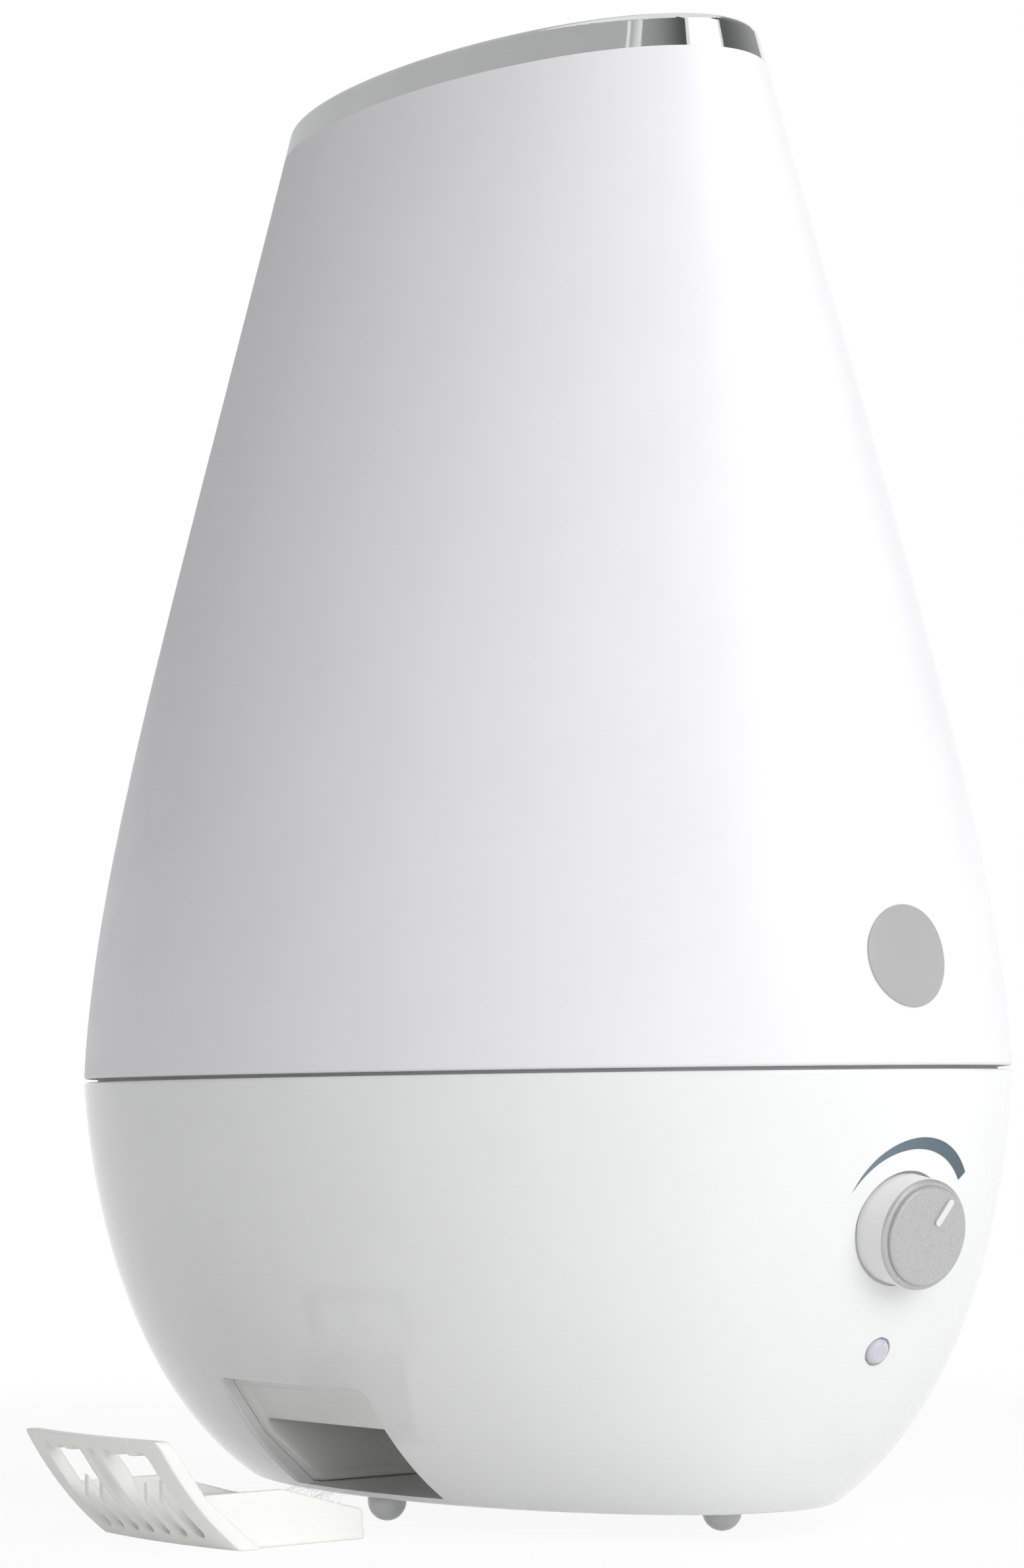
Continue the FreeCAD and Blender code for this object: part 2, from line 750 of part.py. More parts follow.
def blower_parts():
    near = duct_end + seat
    housing = scroll(0, near + blower_wall, blower_depth + blower_wall)
    hollow = scroll(blower_wall, near + blower_wall, blower_depth)
    centre = vec(near, drawer_y, blower_z)
    housing = housing.cut(hollow)
    back = near + blower_wall + blower_depth
    housing = housing.cut(rod(motor_radius + seat, vec(back - overrun, drawer_y, blower_z), X, reach))
    cover = scroll(0, near, blower_wall).cut(rod(intake_radius, centre - X, X, reach))
    motor_front = back - motor_depth + blower_wall
    motor = rod(motor_radius, vec(motor_front + run, drawer_y, blower_z), X, motor_depth)
    flange = rod(motor_radius + motor_flange, vec(back + blower_wall, drawer_y, blower_z), X,
                 motor_flange_thickness)
    motor = motor.fuse(flange)
    shaft_end = near + blower_wall + motor_shaft_back
    motor = motor.fuse(rod(motor_shaft_radius, vec(shaft_end, drawer_y, blower_z), X,
                           motor_front + run - shaft_end))
    plate_x = motor_front - run - impeller_plate
    front = near + blower_wall + impeller_gap
    depth = plate_x - front
    plate = rod(impeller_radius, vec(plate_x, drawer_y, blower_z), X, impeller_plate)
    hub_start = shaft_end + overrun
    impeller = plate.fuse(rod(impeller_hub, vec(hub_start, drawer_y, blower_z), X, plate_x - hub_start))
    inner = impeller_radius - blade_length
    blades = []
    for index in range(impeller_blades):
        blade = block(front, plate_x, drawer_y - blade_thickness / 2, drawer_y + blade_thickness / 2,
                      blower_z + inner, blower_z + impeller_radius - bond)
        blade.rotate(vec(front, drawer_y, blower_z + inner), X, blade_angle)
        blade.rotate(vec(front, drawer_y, blower_z), X, 360 / impeller_blades * index)
        blades.append(blade)
    blades_in = rod(impeller_radius, vec(front, drawer_y, blower_z), X, depth + impeller_plate)
    impeller = impeller.multiFuse(blades).common(blades_in.fuse(
        rod(impeller_hub, vec(hub_start, drawer_y, blower_z), X, depth)))
    impeller = impeller.cut(rod(motor_shaft_radius + shaft_fit, vec(near, drawer_y, blower_z), X,
                            reach))
    return {"blower_housing": housing, "blower_cover": cover, "blower_motor": motor,
            "blower_impeller": impeller}


# ---- Controls
def pill(width, length, low, high):
    """Raised bar on the knob's face, pointing away from the axis."""
    half = length / 2 - width / 2
    bar = block(-width / 2, width / 2, -half, half, low, high)
    for end in (-half, half):
        bar = bar.fuse(cylinder(width / 2, low, high, 0, end))
    return bar


def seat_on_knob_axis(shape):
    """Turn a shape drawn about Z so that Z becomes the knob's outward axis."""
    matrix = FreeCAD.Matrix(1, 0, 0, knob_point.x,
                            0, knob_up.y, knob_out.y, knob_point.y,
                            0, knob_up.z, knob_out.z, knob_point.z,
                            0, 0, 0, 1)
    turned = shape.copy()
    turned.Placement = FreeCAD.Placement(matrix)
    return turned


def knob_parts():
    low = -knob_recess + run
    body = cylinder(knob_radius, low, knob_proud - knob_face_thickness)
    body = body.makeFillet(knob_edge_round, level_edges(body, knob_proud - knob_face_thickness))
    roof = knob_proud - knob_face_thickness - knob_wall
    body = body.cut(cylinder(knob_radius - knob_wall, low - overrun, roof))
    socket = cylinder(pot_shaft_radius + knob_wall, low, roof + knob_wall / 2)
    body = body.fuse(socket).removeSplitter()
    body = body.cut(cylinder(pot_shaft_radius, low - overrun, knob_seat))
    face = cylinder(knob_face_radius, knob_proud - knob_face_thickness, knob_proud)
    face = face.makeFillet(knob_face_thickness * 0.6, level_edges(face, knob_proud))
    pointer = pill(pointer_width, pointer_length, knob_proud - bond, knob_proud + pointer_height)
    pointer.translate(vec(0, pointer_reach - pointer_length / 2, 0))
    pointer.rotate(vec(0, 0, 0), Z, -pointer_angle)
    face = face.fuse(pointer)
    shaft = cylinder(pot_shaft_radius, -knob_recess - pot_bush_length, knob_seat)
    bush_low = -knob_boss_depth - board_thickness
    bush = cylinder(pot_bush_radius, bush_low, -knob_recess - run)
    can = cylinder(pot_body_radius, bush_low - pot_body_depth, bush_low)
    pot = can.fuse(bush).cut(cylinder(pot_shaft_radius + shaft_fit, bush_low - pot_body_depth / 2,
                                      overrun))
    return {name: seat_on_knob_axis(shape) for name, shape in
            {"knob_body": body, "knob_face": face, "pot_shaft": shaft, "potentiometer": pot}.items()}


def led_parts():
    frame = FreeCAD.Placement(led_point, FreeCAD.Rotation(Z, led_out))
    low = -base_wall - overrun
    lens = cylinder(led_radius, low, -led_dome / 2)
    squash = FreeCAD.Matrix()
    squash.scale(1, 1, 2 * led_dome / led_radius)
    cap = Part.makeSphere(led_radius).transformGeometry(squash)
    cap.translate(vec(0, 0, -led_dome / 2))
    lens = lens.fuse(cap.common(cylinder(led_radius, -led_dome / 2, led_dome)))
    diode = cylinder(led_body_radius, low - led_body_length, low)
    parts = {"led_lens": lens, "led": diode}
    for shape in parts.values():
        shape.Placement = frame
    return parts


def control_board():
    far = -knob_boss_depth - board_thickness
    width = control_board_width / 2
    board = block(-width, width, -control_board_below, control_board_height - control_board_below,
                  far, far + board_thickness)
    board = board.cut(cylinder(pot_bush_radius + seat, -reach, reach))
    return seat_on_knob_axis(board)


def board_posts(half, y_low, y_high, top):
    """Four posts that carry a board at its corners."""
    return [cylinder(board_post_radius, inside_floor, top, x, y)
            for x in (-half + board_post_inset, half - board_post_inset)
            for y in (y_low + board_post_inset, y_high - board_post_inset)]


def driver_parts():
    half = driver_board_x / 2
    low = driver_y - driver_board_y / 2
    top = driver_board_z + board_thickness
    board = block(-half, half, low, low + driver_board_y, driver_board_z, top)
    x = half - sink_width - board_margin
    sink = block(x, x + sink_width, driver_y - sink_length / 2, driver_y + sink_length / 2,
                 top, top + sink_plate)
    pitch = (sink_width - sink_fin) / (sink_fins - 1)
    for index in range(sink_fins):
        start = x + index * pitch
        sink = sink.fuse(block(start, start + sink_fin, driver_y - sink_length / 2,
                               driver_y + sink_length / 2, top, top + sink_height))
    posts = board_posts(half, low, low + driver_board_y, driver_board_z)
    return {"driver_board": board, "heat_sink": sink.removeSplitter()}, posts


def power_parts():
    half = power_board_x / 2
    low = power_y - power_board_y / 2
    top = power_board_z + board_thickness
    board = block(-half, half, low, low + power_board_y, power_board_z, top)
    size = transformer_size
    x = -half + board_margin
    y = power_y - size / 2
    core = block(x, x + size, y, y + size, top, top + transformer_core)
    core = core.fuse(block(x, x + size, y + size / 4, y + size * 3 / 4, top, top + transformer_height))
    cans = [cylinder(capacitor_radius, top, top + capacitor_height,
                     half - capacitor_radius - board_margin, power_y + side * capacitor_spacing / 2)
            for side in (-1, 1)]
    posts = board_posts(half, low, low + power_board_y, power_board_z)
    return {"power_board": board, "transformer": core,
            "capacitors": Part.makeCompound(cans)}, posts


def cord_gland():
    """Rubber bush in the rear wall, its collar inside."""
    face = -base_wall - gland_seat
    sleeve = rod(gland_radius - seat / 2, gland_point + gland_out * face, gland_out, gland_proud - face)
    collar = rod(gland_collar, gland_point + gland_out * (face - gland_collar_height), gland_out,
                 gland_collar_height)
    bore = rod(gland_bore, gland_point - gland_out * 4 * base_wall, gland_out, reach)
    return sleeve.fuse(collar).cut(bore)


# ---- Tank
def tank_shell():
    low = seam_height + seam_gap / 2
    outer = body_solid(tank_curve, low, ring_low)
    outer = outer.makeFillet(seam_round, level_edges(outer, low))
    return outer.cut(tank_inside(low - bond, ring_low + bond, tank_wall))


def tank_floor():
    low = seam_height + seam_gap / 2 + seam_round
    collar_inside = half_width_at(tank_curve, low + collar_height / 2, 2 * tank_wall)
    spigot = half_width_at(base_curve, tank_floor_low, base_wall + spigot_clearance)
    plate = ellipse_slab(spigot, spigot + depth_extra, tank_floor_low, tank_floor_high)
    rim = ellipse_slab(spigot, spigot + depth_extra, tank_floor_low, low)
    collar = tank_inside(low, low + collar_height, tank_wall + seat)
    rim = rim.fuse(collar)
    rim = rim.cut(ellipse_slab(collar_inside, collar_inside + depth_extra, 0, reach))
    neck = cylinder(neck_radius, tank_floor_high - neck_length, tank_floor_high, 0, cap_y)
    shape = plate.fuse(rim).fuse(neck).removeSplitter()
    shape = shape.cut(cylinder(neck_radius - neck_wall, 0, reach, 0, cap_y))
    return shape.cut(cylinder(chimney_radius + seat, 0, reach, 0, chimney_y))


def mist_chimney():
    low = tank_floor_high - chimney_skirt
    tube = cylinder(chimney_radius, low, cover_low, 0, chimney_y)
    foot_ring = cylinder(chimney_radius + chimney_flange, tank_floor_high,
                         tank_floor_high + chimney_flange_thickness, 0, chimney_y)
    return tube.fuse(foot_ring).cut(cylinder(chimney_radius - chimney_wall, 0, reach, 0, chimney_y))


def chrome_ring():
    outer = body_solid(tank_curve, ring_low, overall_height, 4)
    outer = outer.makeFillet(ring_round, level_edges(outer, overall_height))
    wide = top_half_width - ring_width
    ring = outer.cut(ellipse_slab(wide, wide + depth_extra, 0, reach))
    inner_edge = [edge for edge in level_edges(ring, overall_height)
                  if edge.BoundBox.XMax < wide + seat]
    return ring.makeFillet(ring_inner_round, inner_edge)


def top_cover():
    wide = top_half_width - ring_width - seat
    plate = ellipse_slab(wide, wide + depth_extra, cover_low, cover_top)
    skirt_wide = half_width_at(tank_curve, ring_low, tank_wall) - seat
    flange = ellipse_slab(skirt_wide, skirt_wide + depth_extra, cover_low, ring_low)
    shape = plate.fuse(flange).removeSplitter()
    return shape.cut(cylinder(chimney_radius, 0, reach, 0, chimney_y))


def mist_nozzle():
    low = cover_top + run
    high = low + nozzle_height
    dome = cylinder(nozzle_radius, low, high, 0, chimney_y)
    dome = dome.makeFillet(nozzle_height * 0.7, level_edges(dome, high))
    inner = cylinder(nozzle_radius - nozzle_wall, low - overrun, high - nozzle_wall, 0, chimney_y)
    skirt = cylinder(chimney_radius - chimney_wall - run, low - nozzle_skirt, high - nozzle_wall / 2,
                     0, chimney_y)
    shape = dome.cut(inner).fuse(skirt)
    throat = chimney_radius - 2 * chimney_wall - run
    shape = shape.cut(cylinder(throat, 0, high - nozzle_wall, 0, chimney_y))
    slot = pill(outlet_width, outlet_length, low - nozzle_skirt, high + overrun)
    slot.translate(vec(0, chimney_y, 0))
    return shape.cut(slot)


def coil(radius, wire, turns, height):
    """Compression spring with its axis on Z, in short straight runs."""
    steps = 14 * turns
    path = []
    for index in range(steps + 1):
        angle = 2 * math.pi * turns * index / steps
        path.append(vec(radius * math.cos(angle), radius * math.sin(angle), height * index / steps))
    ends = [vec(radius + wire / 2 * math.cos(a), 0, wire / 2 * math.sin(a))
            for a in (math.radians(60 * index) for index in range(6))]
    profile = Part.makePolygon(ends + [ends[0]])
    return Part.makePolygon(path).makePipeShell([profile], True, False, 1)


def cap_parts():
    low = cap_low
    seal_top = cage_low + cap_seal_thickness
    inner = neck_radius + run
    outer = inner + cap_wall
    top = tank_floor_low - run
    cap = cylinder(outer, low, top, 0, cap_y)
    ribs = []
    for index in range(cap_ribs):
        angle = 2 * math.pi * index / cap_ribs
        ribs.append(cylinder(cap_rib_radius, low, top, outer * math.cos(angle),
                             cap_y + outer * math.sin(angle)))
    cap = cap.multiFuse(ribs)
    cap = cap.cut(cylinder(inner, cage_low, top + overrun, 0, cap_y))
    cage_top = cage_low + cage_height
    cap = cap.cut(cylinder(cap_hole_radius, 0, reach, 0, cap_y))
    cage = cylinder(cage_radius, cage_top - cage_plate, cage_top, 0, cap_y)
    cage = cage.cut(cylinder(valve_stem_radius + run, 0, reach, 0, cap_y))
    legs = []
    for index in range(3):
        leg = block(cage_radius - cage_leg_depth, cage_radius, -cage_leg / 2, cage_leg / 2,
                    cage_low - bond, cage_top)
        leg.rotate(vec(0, 0, 0), Z, 120 * index)
        leg.translate(vec(0, cap_y, 0))
        legs.append(leg)
    cap = cap.fuse(cage).multiFuse(legs)
    seal = cylinder(inner - seat, cage_low, seal_top, 0, cap_y)
    seal = seal.cut(cylinder(neck_radius - neck_wall - cap_seal_thickness, 0, reach, 0, cap_y))
    disc_low = cage_low + valve_lift + valve_seal_thickness
    rubber = cylinder(valve_disc_radius - 1, disc_low - valve_seal_thickness, disc_low, 0, cap_y)
    rubber = rubber.cut(cylinder(valve_stem_radius, 0, reach, 0, cap_y))
    disc_top = disc_low + valve_disc_thickness
    plunger = cylinder(valve_disc_radius - 1, disc_low, disc_top, 0, cap_y)
    stem_low = low + cap_disc / 2
    plunger = plunger.fuse(cylinder(valve_stem_radius, stem_low, disc_top + valve_guide_length, 0, cap_y))
    spring_room = cage_top - cage_plate - disc_top
    spring = coil(spring_radius, spring_wire, spring_turns, spring_room - 2 * spring_wire)
    spring.translate(vec(0, cap_y, disc_top + spring_wire))
    return {"tank_cap": cap, "cap_seal": seal, "valve_plunger": plunger, "valve_seal": rubber,
            "valve_spring": spring}


# ---- Assembly
def lay_out(shape):
    """Drawer taken out of its slot and laid on the table in front of it."""
    moved = shape.copy()
    moved.translate(vec(-drawer_travel, 0, -drawer_drop))
    return moved


def build():
    driver, driver_posts = driver_parts()
    power, power_posts = power_parts()
    shell = base_shell()
    nodes = {"base_shell": shell, "bottom_cover": bottom_cover()}
    room = base_inside(inside_floor - bond, seam_height, base_wall - bond)
    posts = [post.common(room) for post in driver_posts + power_posts]
    cover_zone = ellipse_slab(cover_half_width, cover_half_depth, 0, reach)
    cover_gap = ellipse_slab(cover_half_width + seat, cover_half_depth + seat, 0, reach)
    nodes["bottom_cover"] = nodes["bottom_cover"].multiFuse([post.common(cover_zone) for post in posts])
    nodes["base_shell"] = shell.multiFuse([post.cut(cover_gap) for post in posts])
    for name, (x, y) in foot_places().items():
        nodes["foot_" + name] = foot(x, y)
    nodes["cover_screws"] = Part.makeCompound(
        [cylinder(cover_screw_head, 0, inside_floor, x, y).fuse(
            cylinder(cover_screw_radius - seat, inside_floor, inside_floor + cover_screw_length, x, y))
         for x, y in cover_screw_places()])
    nodes["water_basin"] = water_basin()
    nodes["deck_screws"] = Part.makeCompound(
        [screw(deck_screw_radius - 0.1, deck_screw_head, deck_screw_head_height,
               deck_screw_length, x, y, deck_screw_seat()) for x, y in column_places()])
    nodes["float_ring"] = float_ring()
    nodes["float_clip"] = float_clip()
    nodes["reed_switch"] = reed_switch()
    nodes.update(transducer_parts())
    nodes["filter_duct"] = filter_duct()
    nodes.update(blower_parts())
    nodes.update(knob_parts())
    nodes.update(led_parts())
    nodes["control_board"] = control_board()
    nodes.update(driver)
    nodes.update(power)
    nodes["cord_gland"] = cord_gland()
    nodes["tank_shell"] = tank_shell()
    nodes["tank_floor"] = tank_floor()
    nodes["mist_chimney"] = mist_chimney()
    nodes["chrome_ring"] = chrome_ring()
    nodes["top_cover"] = top_cover()
    nodes["mist_nozzle"] = mist_nozzle()
    nodes.update(cap_parts())
    nodes["filter_tray"] = lay_out(filter_tray())
    nodes["filter_pad"] = lay_out(filter_pad())
    return nodes


os.makedirs("parts", exist_ok=True)
for node, shape in build().items():
    print(f"{node:20s} solids {len(shape.Solids)} valid {shape.isValid()} "
          f"volume {shape.Volume / 1000:8.2f} cm3 "
          f"z {shape.BoundBox.ZMin:.2f} to {shape.BoundBox.ZMax:.2f}")
    shape.exportStep(f"parts/{node}.step")
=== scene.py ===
# %% [markdown]
# # A cool mist humidifier
#
# The object is a tall oval water tank on a bowl-shaped base. Its pieces come from the packed
# frame, already at their real size and place, in metres: the underside of the base is Z = 0, the
# knob faces -Y and the air filter drawer leaves the base towards -X. What is left for this lesson
# is the finish of each surface, the badge and the printed mark, the soft edges of the drawer, and
# the fleece mat that lies in it.

# %% Load the frame
import math
import random

import bmesh
import bpy
from mathutils import Matrix, Vector


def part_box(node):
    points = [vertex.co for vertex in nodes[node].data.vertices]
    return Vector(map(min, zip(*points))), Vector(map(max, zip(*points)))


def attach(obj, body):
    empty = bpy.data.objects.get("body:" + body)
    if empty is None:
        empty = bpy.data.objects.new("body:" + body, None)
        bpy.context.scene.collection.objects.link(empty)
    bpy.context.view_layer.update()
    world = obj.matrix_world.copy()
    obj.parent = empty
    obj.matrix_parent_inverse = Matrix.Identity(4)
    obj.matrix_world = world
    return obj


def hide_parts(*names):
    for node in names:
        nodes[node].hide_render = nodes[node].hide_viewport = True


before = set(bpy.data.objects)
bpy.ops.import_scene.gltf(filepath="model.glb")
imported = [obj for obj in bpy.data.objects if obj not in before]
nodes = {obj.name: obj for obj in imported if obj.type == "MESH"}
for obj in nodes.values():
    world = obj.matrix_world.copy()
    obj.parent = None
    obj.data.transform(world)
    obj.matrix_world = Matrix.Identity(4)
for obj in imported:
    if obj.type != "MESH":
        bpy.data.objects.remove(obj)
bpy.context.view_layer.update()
print("pieces in the frame:", len(nodes))


# %% [markdown]
# Operators act on whatever is selected, and the frame's pieces are selected when it is loaded.
# So every step starts from an empty selection in object mode.

# %% Selection helpers
def deselect_all():
    if bpy.context.mode != "OBJECT":
        bpy.ops.object.mode_set(mode="OBJECT")
    bpy.ops.object.select_all(action="DESELECT")


def pick(piece):
    """Make one object the only selected and active one."""
    deselect_all()
    piece.select_set(True)
    bpy.context.view_layer.objects.active = piece


def apply_modifier(piece, kind, name, **settings):
    """Add a modifier, set it up, and apply it to the mesh."""
    pick(piece)
    modifier = piece.modifiers.new(name, kind)
    for key, value in settings.items():
        setattr(modifier, key, value)
    bpy.ops.object.modifier_apply(modifier=name)


# %% [markdown]
# ## The camera
#
# A product shot like this is taken from low down and from well back with a long lens, so that the
# tank's tall sides lean only a little. The camera stands left of the front, a hand's width above
# the table, and looks slightly up.

# %% Camera
CAMERA_PLACE = Vector((-0.57745, -0.75451, 0.08980))
CAMERA_YAW = math.radians(37.27)      # from straight ahead (+Y) towards +X
CAMERA_PITCH = math.radians(4.615)    # above the horizon
CAMERA_ROLL = math.radians(-0.677)
LENS = 90.79                          # mm
SENSOR = 36.0                         # mm along the tall side

camera_data = bpy.data.cameras.new("camera")
camera_data.lens = LENS
camera_data.sensor_width = SENSOR
camera_data.sensor_fit = "AUTO"
camera_data.clip_start = 0.01
camera = bpy.data.objects.new("camera", camera_data)
bpy.context.scene.collection.objects.link(camera)
aim = (Matrix.Rotation(-CAMERA_YAW, 4, "Z") @ Matrix.Rotation(math.pi / 2 + CAMERA_PITCH, 4, "X")
       @ Matrix.Rotation(CAMERA_ROLL, 4, "Z"))
camera.matrix_world = Matrix.Translation(CAMERA_PLACE) @ aim
bpy.context.scene.camera = camera
bpy.context.scene.view_settings.view_transform = "Standard"
print("camera", round(CAMERA_PLACE.length, 3), "m from the object's foot")

# %% [markdown]
# ## The studio
#
# White plastic only reads as round when the light falls off across it. So large, soft panels
# stand in front and to the right, the left side gets little more than the room's own light, and
# the backdrop is white because of its colour and not because of a lamp behind the object. The
# table is a plain sheet of paper under the feet.

# %% Floor
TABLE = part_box("foot_left")[0].z
FLOOR_SIZE = 6.0

deselect_all()
bpy.ops.mesh.primitive_plane_add(size=FLOOR_SIZE, location=(0, 0, TABLE))
floor = bpy.context.object
floor.name = "floor"
print("paper at Z", round(TABLE, 4))


# %% [markdown]
# The room and the paper are lit one way and seen another. A ray from the camera, or one that a
# shiny or clear surface sends on, finds them white. A ray that gathers light finds the dimmer
# level that the object is lit at. Round the object the paper keeps a share of its real, shaded
# surface, so the soft shadow stays, and further out it turns wholly white, so no horizon shows.

# %% Node helpers
def new_node_tree(name):
    """A new material, and its node tree with nothing in it."""
    material = bpy.data.materials.new(name)
    material.use_nodes = True
    material.node_tree.nodes.clear()
    return material, material.node_tree


def add_node(tree, kind, **settings):
    """Add a node and make its own settings."""
    node = tree.nodes.new(kind)
    for key, value in settings.items():
        setattr(node, key, value)
    return node


def do_math(tree, operation, first, second):
    """One step of arithmetic on two sockets or numbers."""
    step = add_node(tree, "ShaderNodeMath", operation=operation)
    for socket, value in zip(step.inputs, (first, second)):
        if isinstance(value, (int, float)):
            socket.default_value = value
        else:
            tree.links.new(value, socket)
    return step.outputs[0]


# %% What lights and what is seen
def is_seen(tree):
    """1 for camera, mirror and clear rays, and 0 for rays that gather light."""
    path = add_node(tree, "ShaderNodeLightPath")
    either = do_math(tree, "MAXIMUM", path.outputs["Is Camera Ray"], path.outputs["Is Glossy Ray"])
    return do_math(tree, "MAXIMUM", either, path.outputs["Is Transmission Ray"])


def shine(tree, kind, strength):
    """Plain white light, as a Background or an Emission node."""
    light = add_node(tree, kind)
    light.inputs["Color"].default_value = (1.0, 1.0, 1.0, 1.0)
    light.inputs["Strength"].default_value = strength
    return light.outputs[0]


def lit_or_seen(tree, share, lit, seen):
    """Mix what lights the object with what is seen of it."""
    blend = add_node(tree, "ShaderNodeMixShader")
    for socket, source in zip(blend.inputs, (share, lit, seen)):
        tree.links.new(source, socket)
    return blend.outputs[0]


# %% World
WORLD_LEVEL = 0.27                    # light that reaches the object from all round

world = bpy.data.worlds.new("studio")
world.use_nodes = True
bpy.context.scene.world = world
tree = world.node_tree
tree.nodes.clear()
room = shine(tree, "ShaderNodeBackground", WORLD_LEVEL)
white = shine(tree, "ShaderNodeBackground", 1.0)
tree.links.new(lit_or_seen(tree, is_seen(tree), room, white),
               add_node(tree, "ShaderNodeOutputWorld").inputs["Surface"])
print("room level", WORLD_LEVEL)

# %% Paper
PAPER_COLOUR = 0.93
NEAR_WHITENESS = 0.93                 # share of plain white in the paper beside the object
SHADOW_RADIUS = 0.55                  # metres out to where the paper is wholly white

paper_finish, tree = new_node_tree("paper")
paper = add_node(tree, "ShaderNodeBsdfDiffuse")
paper.inputs["Color"].default_value = (PAPER_COLOUR, PAPER_COLOUR, PAPER_COLOUR, 1.0)
glow = shine(tree, "ShaderNodeEmission", 1.0)
place = add_node(tree, "ShaderNodeTexCoord")
from_middle = add_node(tree, "ShaderNodeVectorMath", operation="LENGTH")
tree.links.new(place.outputs["Object"], from_middle.inputs[0])
fade = add_node(tree, "ShaderNodeMapRange", interpolation_type="SMOOTHSTEP")
tree.links.new(from_middle.outputs["Value"], fade.inputs["Value"])
fade.inputs["From Min"].default_value = SHADOW_RADIUS / 2
fade.inputs["From Max"].default_value = SHADOW_RADIUS
fade.inputs["To Min"].default_value = NEAR_WHITENESS
fade.inputs["To Max"].default_value = 1.0
whiteness = do_math(tree, "MULTIPLY", is_seen(tree), fade.outputs["Result"])
tree.links.new(lit_or_seen(tree, whiteness, paper.outputs[0], glow),
               add_node(tree, "ShaderNodeOutputMaterial").inputs["Surface"])
floor.data.materials.append(paper_finish)
print("paper fades to white by", SHADOW_RADIUS, "m")


# %% [markdown]
# Large soft panels stand from the camera's side round to the right, the strongest in front, so
# that the light grows evenly from the left edge of the tank to the right. A weaker one hangs
# high, and the weakest lies low on the left and reaches into the drawer's mouth. They are left
# out of mirror reflections, because a real studio hangs its lamps so that their hard edges don't
# show in glossy plastic.

# %% Lamps
MIDDLE = Vector((0.0, 0.0, 0.16))     # what every lamp points at
PANEL = 1.4                           # metres, both ways


def soft_light(name, place, width, height, power):
    """A rectangular lamp that mirrors don't show. Its power is in watts."""
    data = bpy.data.lights.new(name, "AREA")
    data.shape = "RECTANGLE"
    data.size = width
    data.size_y = height
    data.energy = power
    lamp = bpy.data.objects.new(name, data)
    bpy.context.scene.collection.objects.link(lamp)
    lamp.location = place
    lamp.rotation_euler = (MIDDLE - Vector(place)).to_track_quat("-Z", "Y").to_euler()
    lamp.visible_glossy = False
    print(name, power, "W")


soft_light("camera_panel", (-1.25, -1.64, 0.91), PANEL, PANEL, 8.0)
soft_light("front_panel", (-0.08, -2.06, 0.91), PANEL, PANEL, 23.0)
soft_light("right_panel", (1.97, -0.62, 0.91), PANEL, PANEL, 14.0)
soft_light("high_panel", (0.68, -1.06, 1.96), PANEL, PANEL, 6.0)
soft_light("left_fill", (-1.3, -0.95, 0.08), 0.8, 0.5, 2.4)

# %% [markdown]
# Chrome has no colour of its own: it shows the room. So in a studio it is surrounded with cards.
# Here they are strips of a wide upright cylinder round the object: a grey one on the left that
# ends in a narrow pale one, a dark one behind the camera, a bright one to its right, and dark
# again beyond. They show in mirror reflections only and shed no light.

# %% Glow of a card
CARD_RADIUS = 2.4
CARD_LOW = 0.55                       # heights of the cards' edges
CARD_HIGH = 4.2
CARD_STEPS = 180                      # flat faces in a full turn
CAMERA_SIDE = math.degrees(math.atan2(CAMERA_PLACE.y, CAMERA_PLACE.x))


def card_finish(name, turn_from, turn_to, start_level, end_level):
    """A glow that runs from one level to another between two turns, in degrees."""
    finish, tree = new_node_tree(name)
    glow = add_node(tree, "ShaderNodeEmission")
    place = add_node(tree, "ShaderNodeTexCoord")
    turned = add_node(tree, "ShaderNodeMapping")
    turned.inputs["Rotation"].default_value = (0, 0, math.radians(180.0 - CAMERA_SIDE))
    tree.links.new(place.outputs["Object"], turned.inputs["Vector"])
    parts = add_node(tree, "ShaderNodeSeparateXYZ")
    tree.links.new(turned.outputs[0], parts.inputs[0])
    back = do_math(tree, "MULTIPLY", parts.outputs["X"], -1.0)
    side = do_math(tree, "MULTIPLY", parts.outputs["Y"], -1.0)
    level = add_node(tree, "ShaderNodeMapRange", interpolation_type="SMOOTHSTEP")
    tree.links.new(do_math(tree, "ARCTAN2", side, back), level.inputs["Value"])
    level.inputs["From Min"].default_value = math.radians(turn_from)
    level.inputs["From Max"].default_value = math.radians(turn_to)
    level.inputs["To Min"].default_value = start_level
    level.inputs["To Max"].default_value = end_level
    tree.links.new(level.outputs["Result"], glow.inputs["Strength"])
    tree.links.new(glow.outputs[0], add_node(tree, "ShaderNodeOutputMaterial").inputs["Surface"])
    return finish


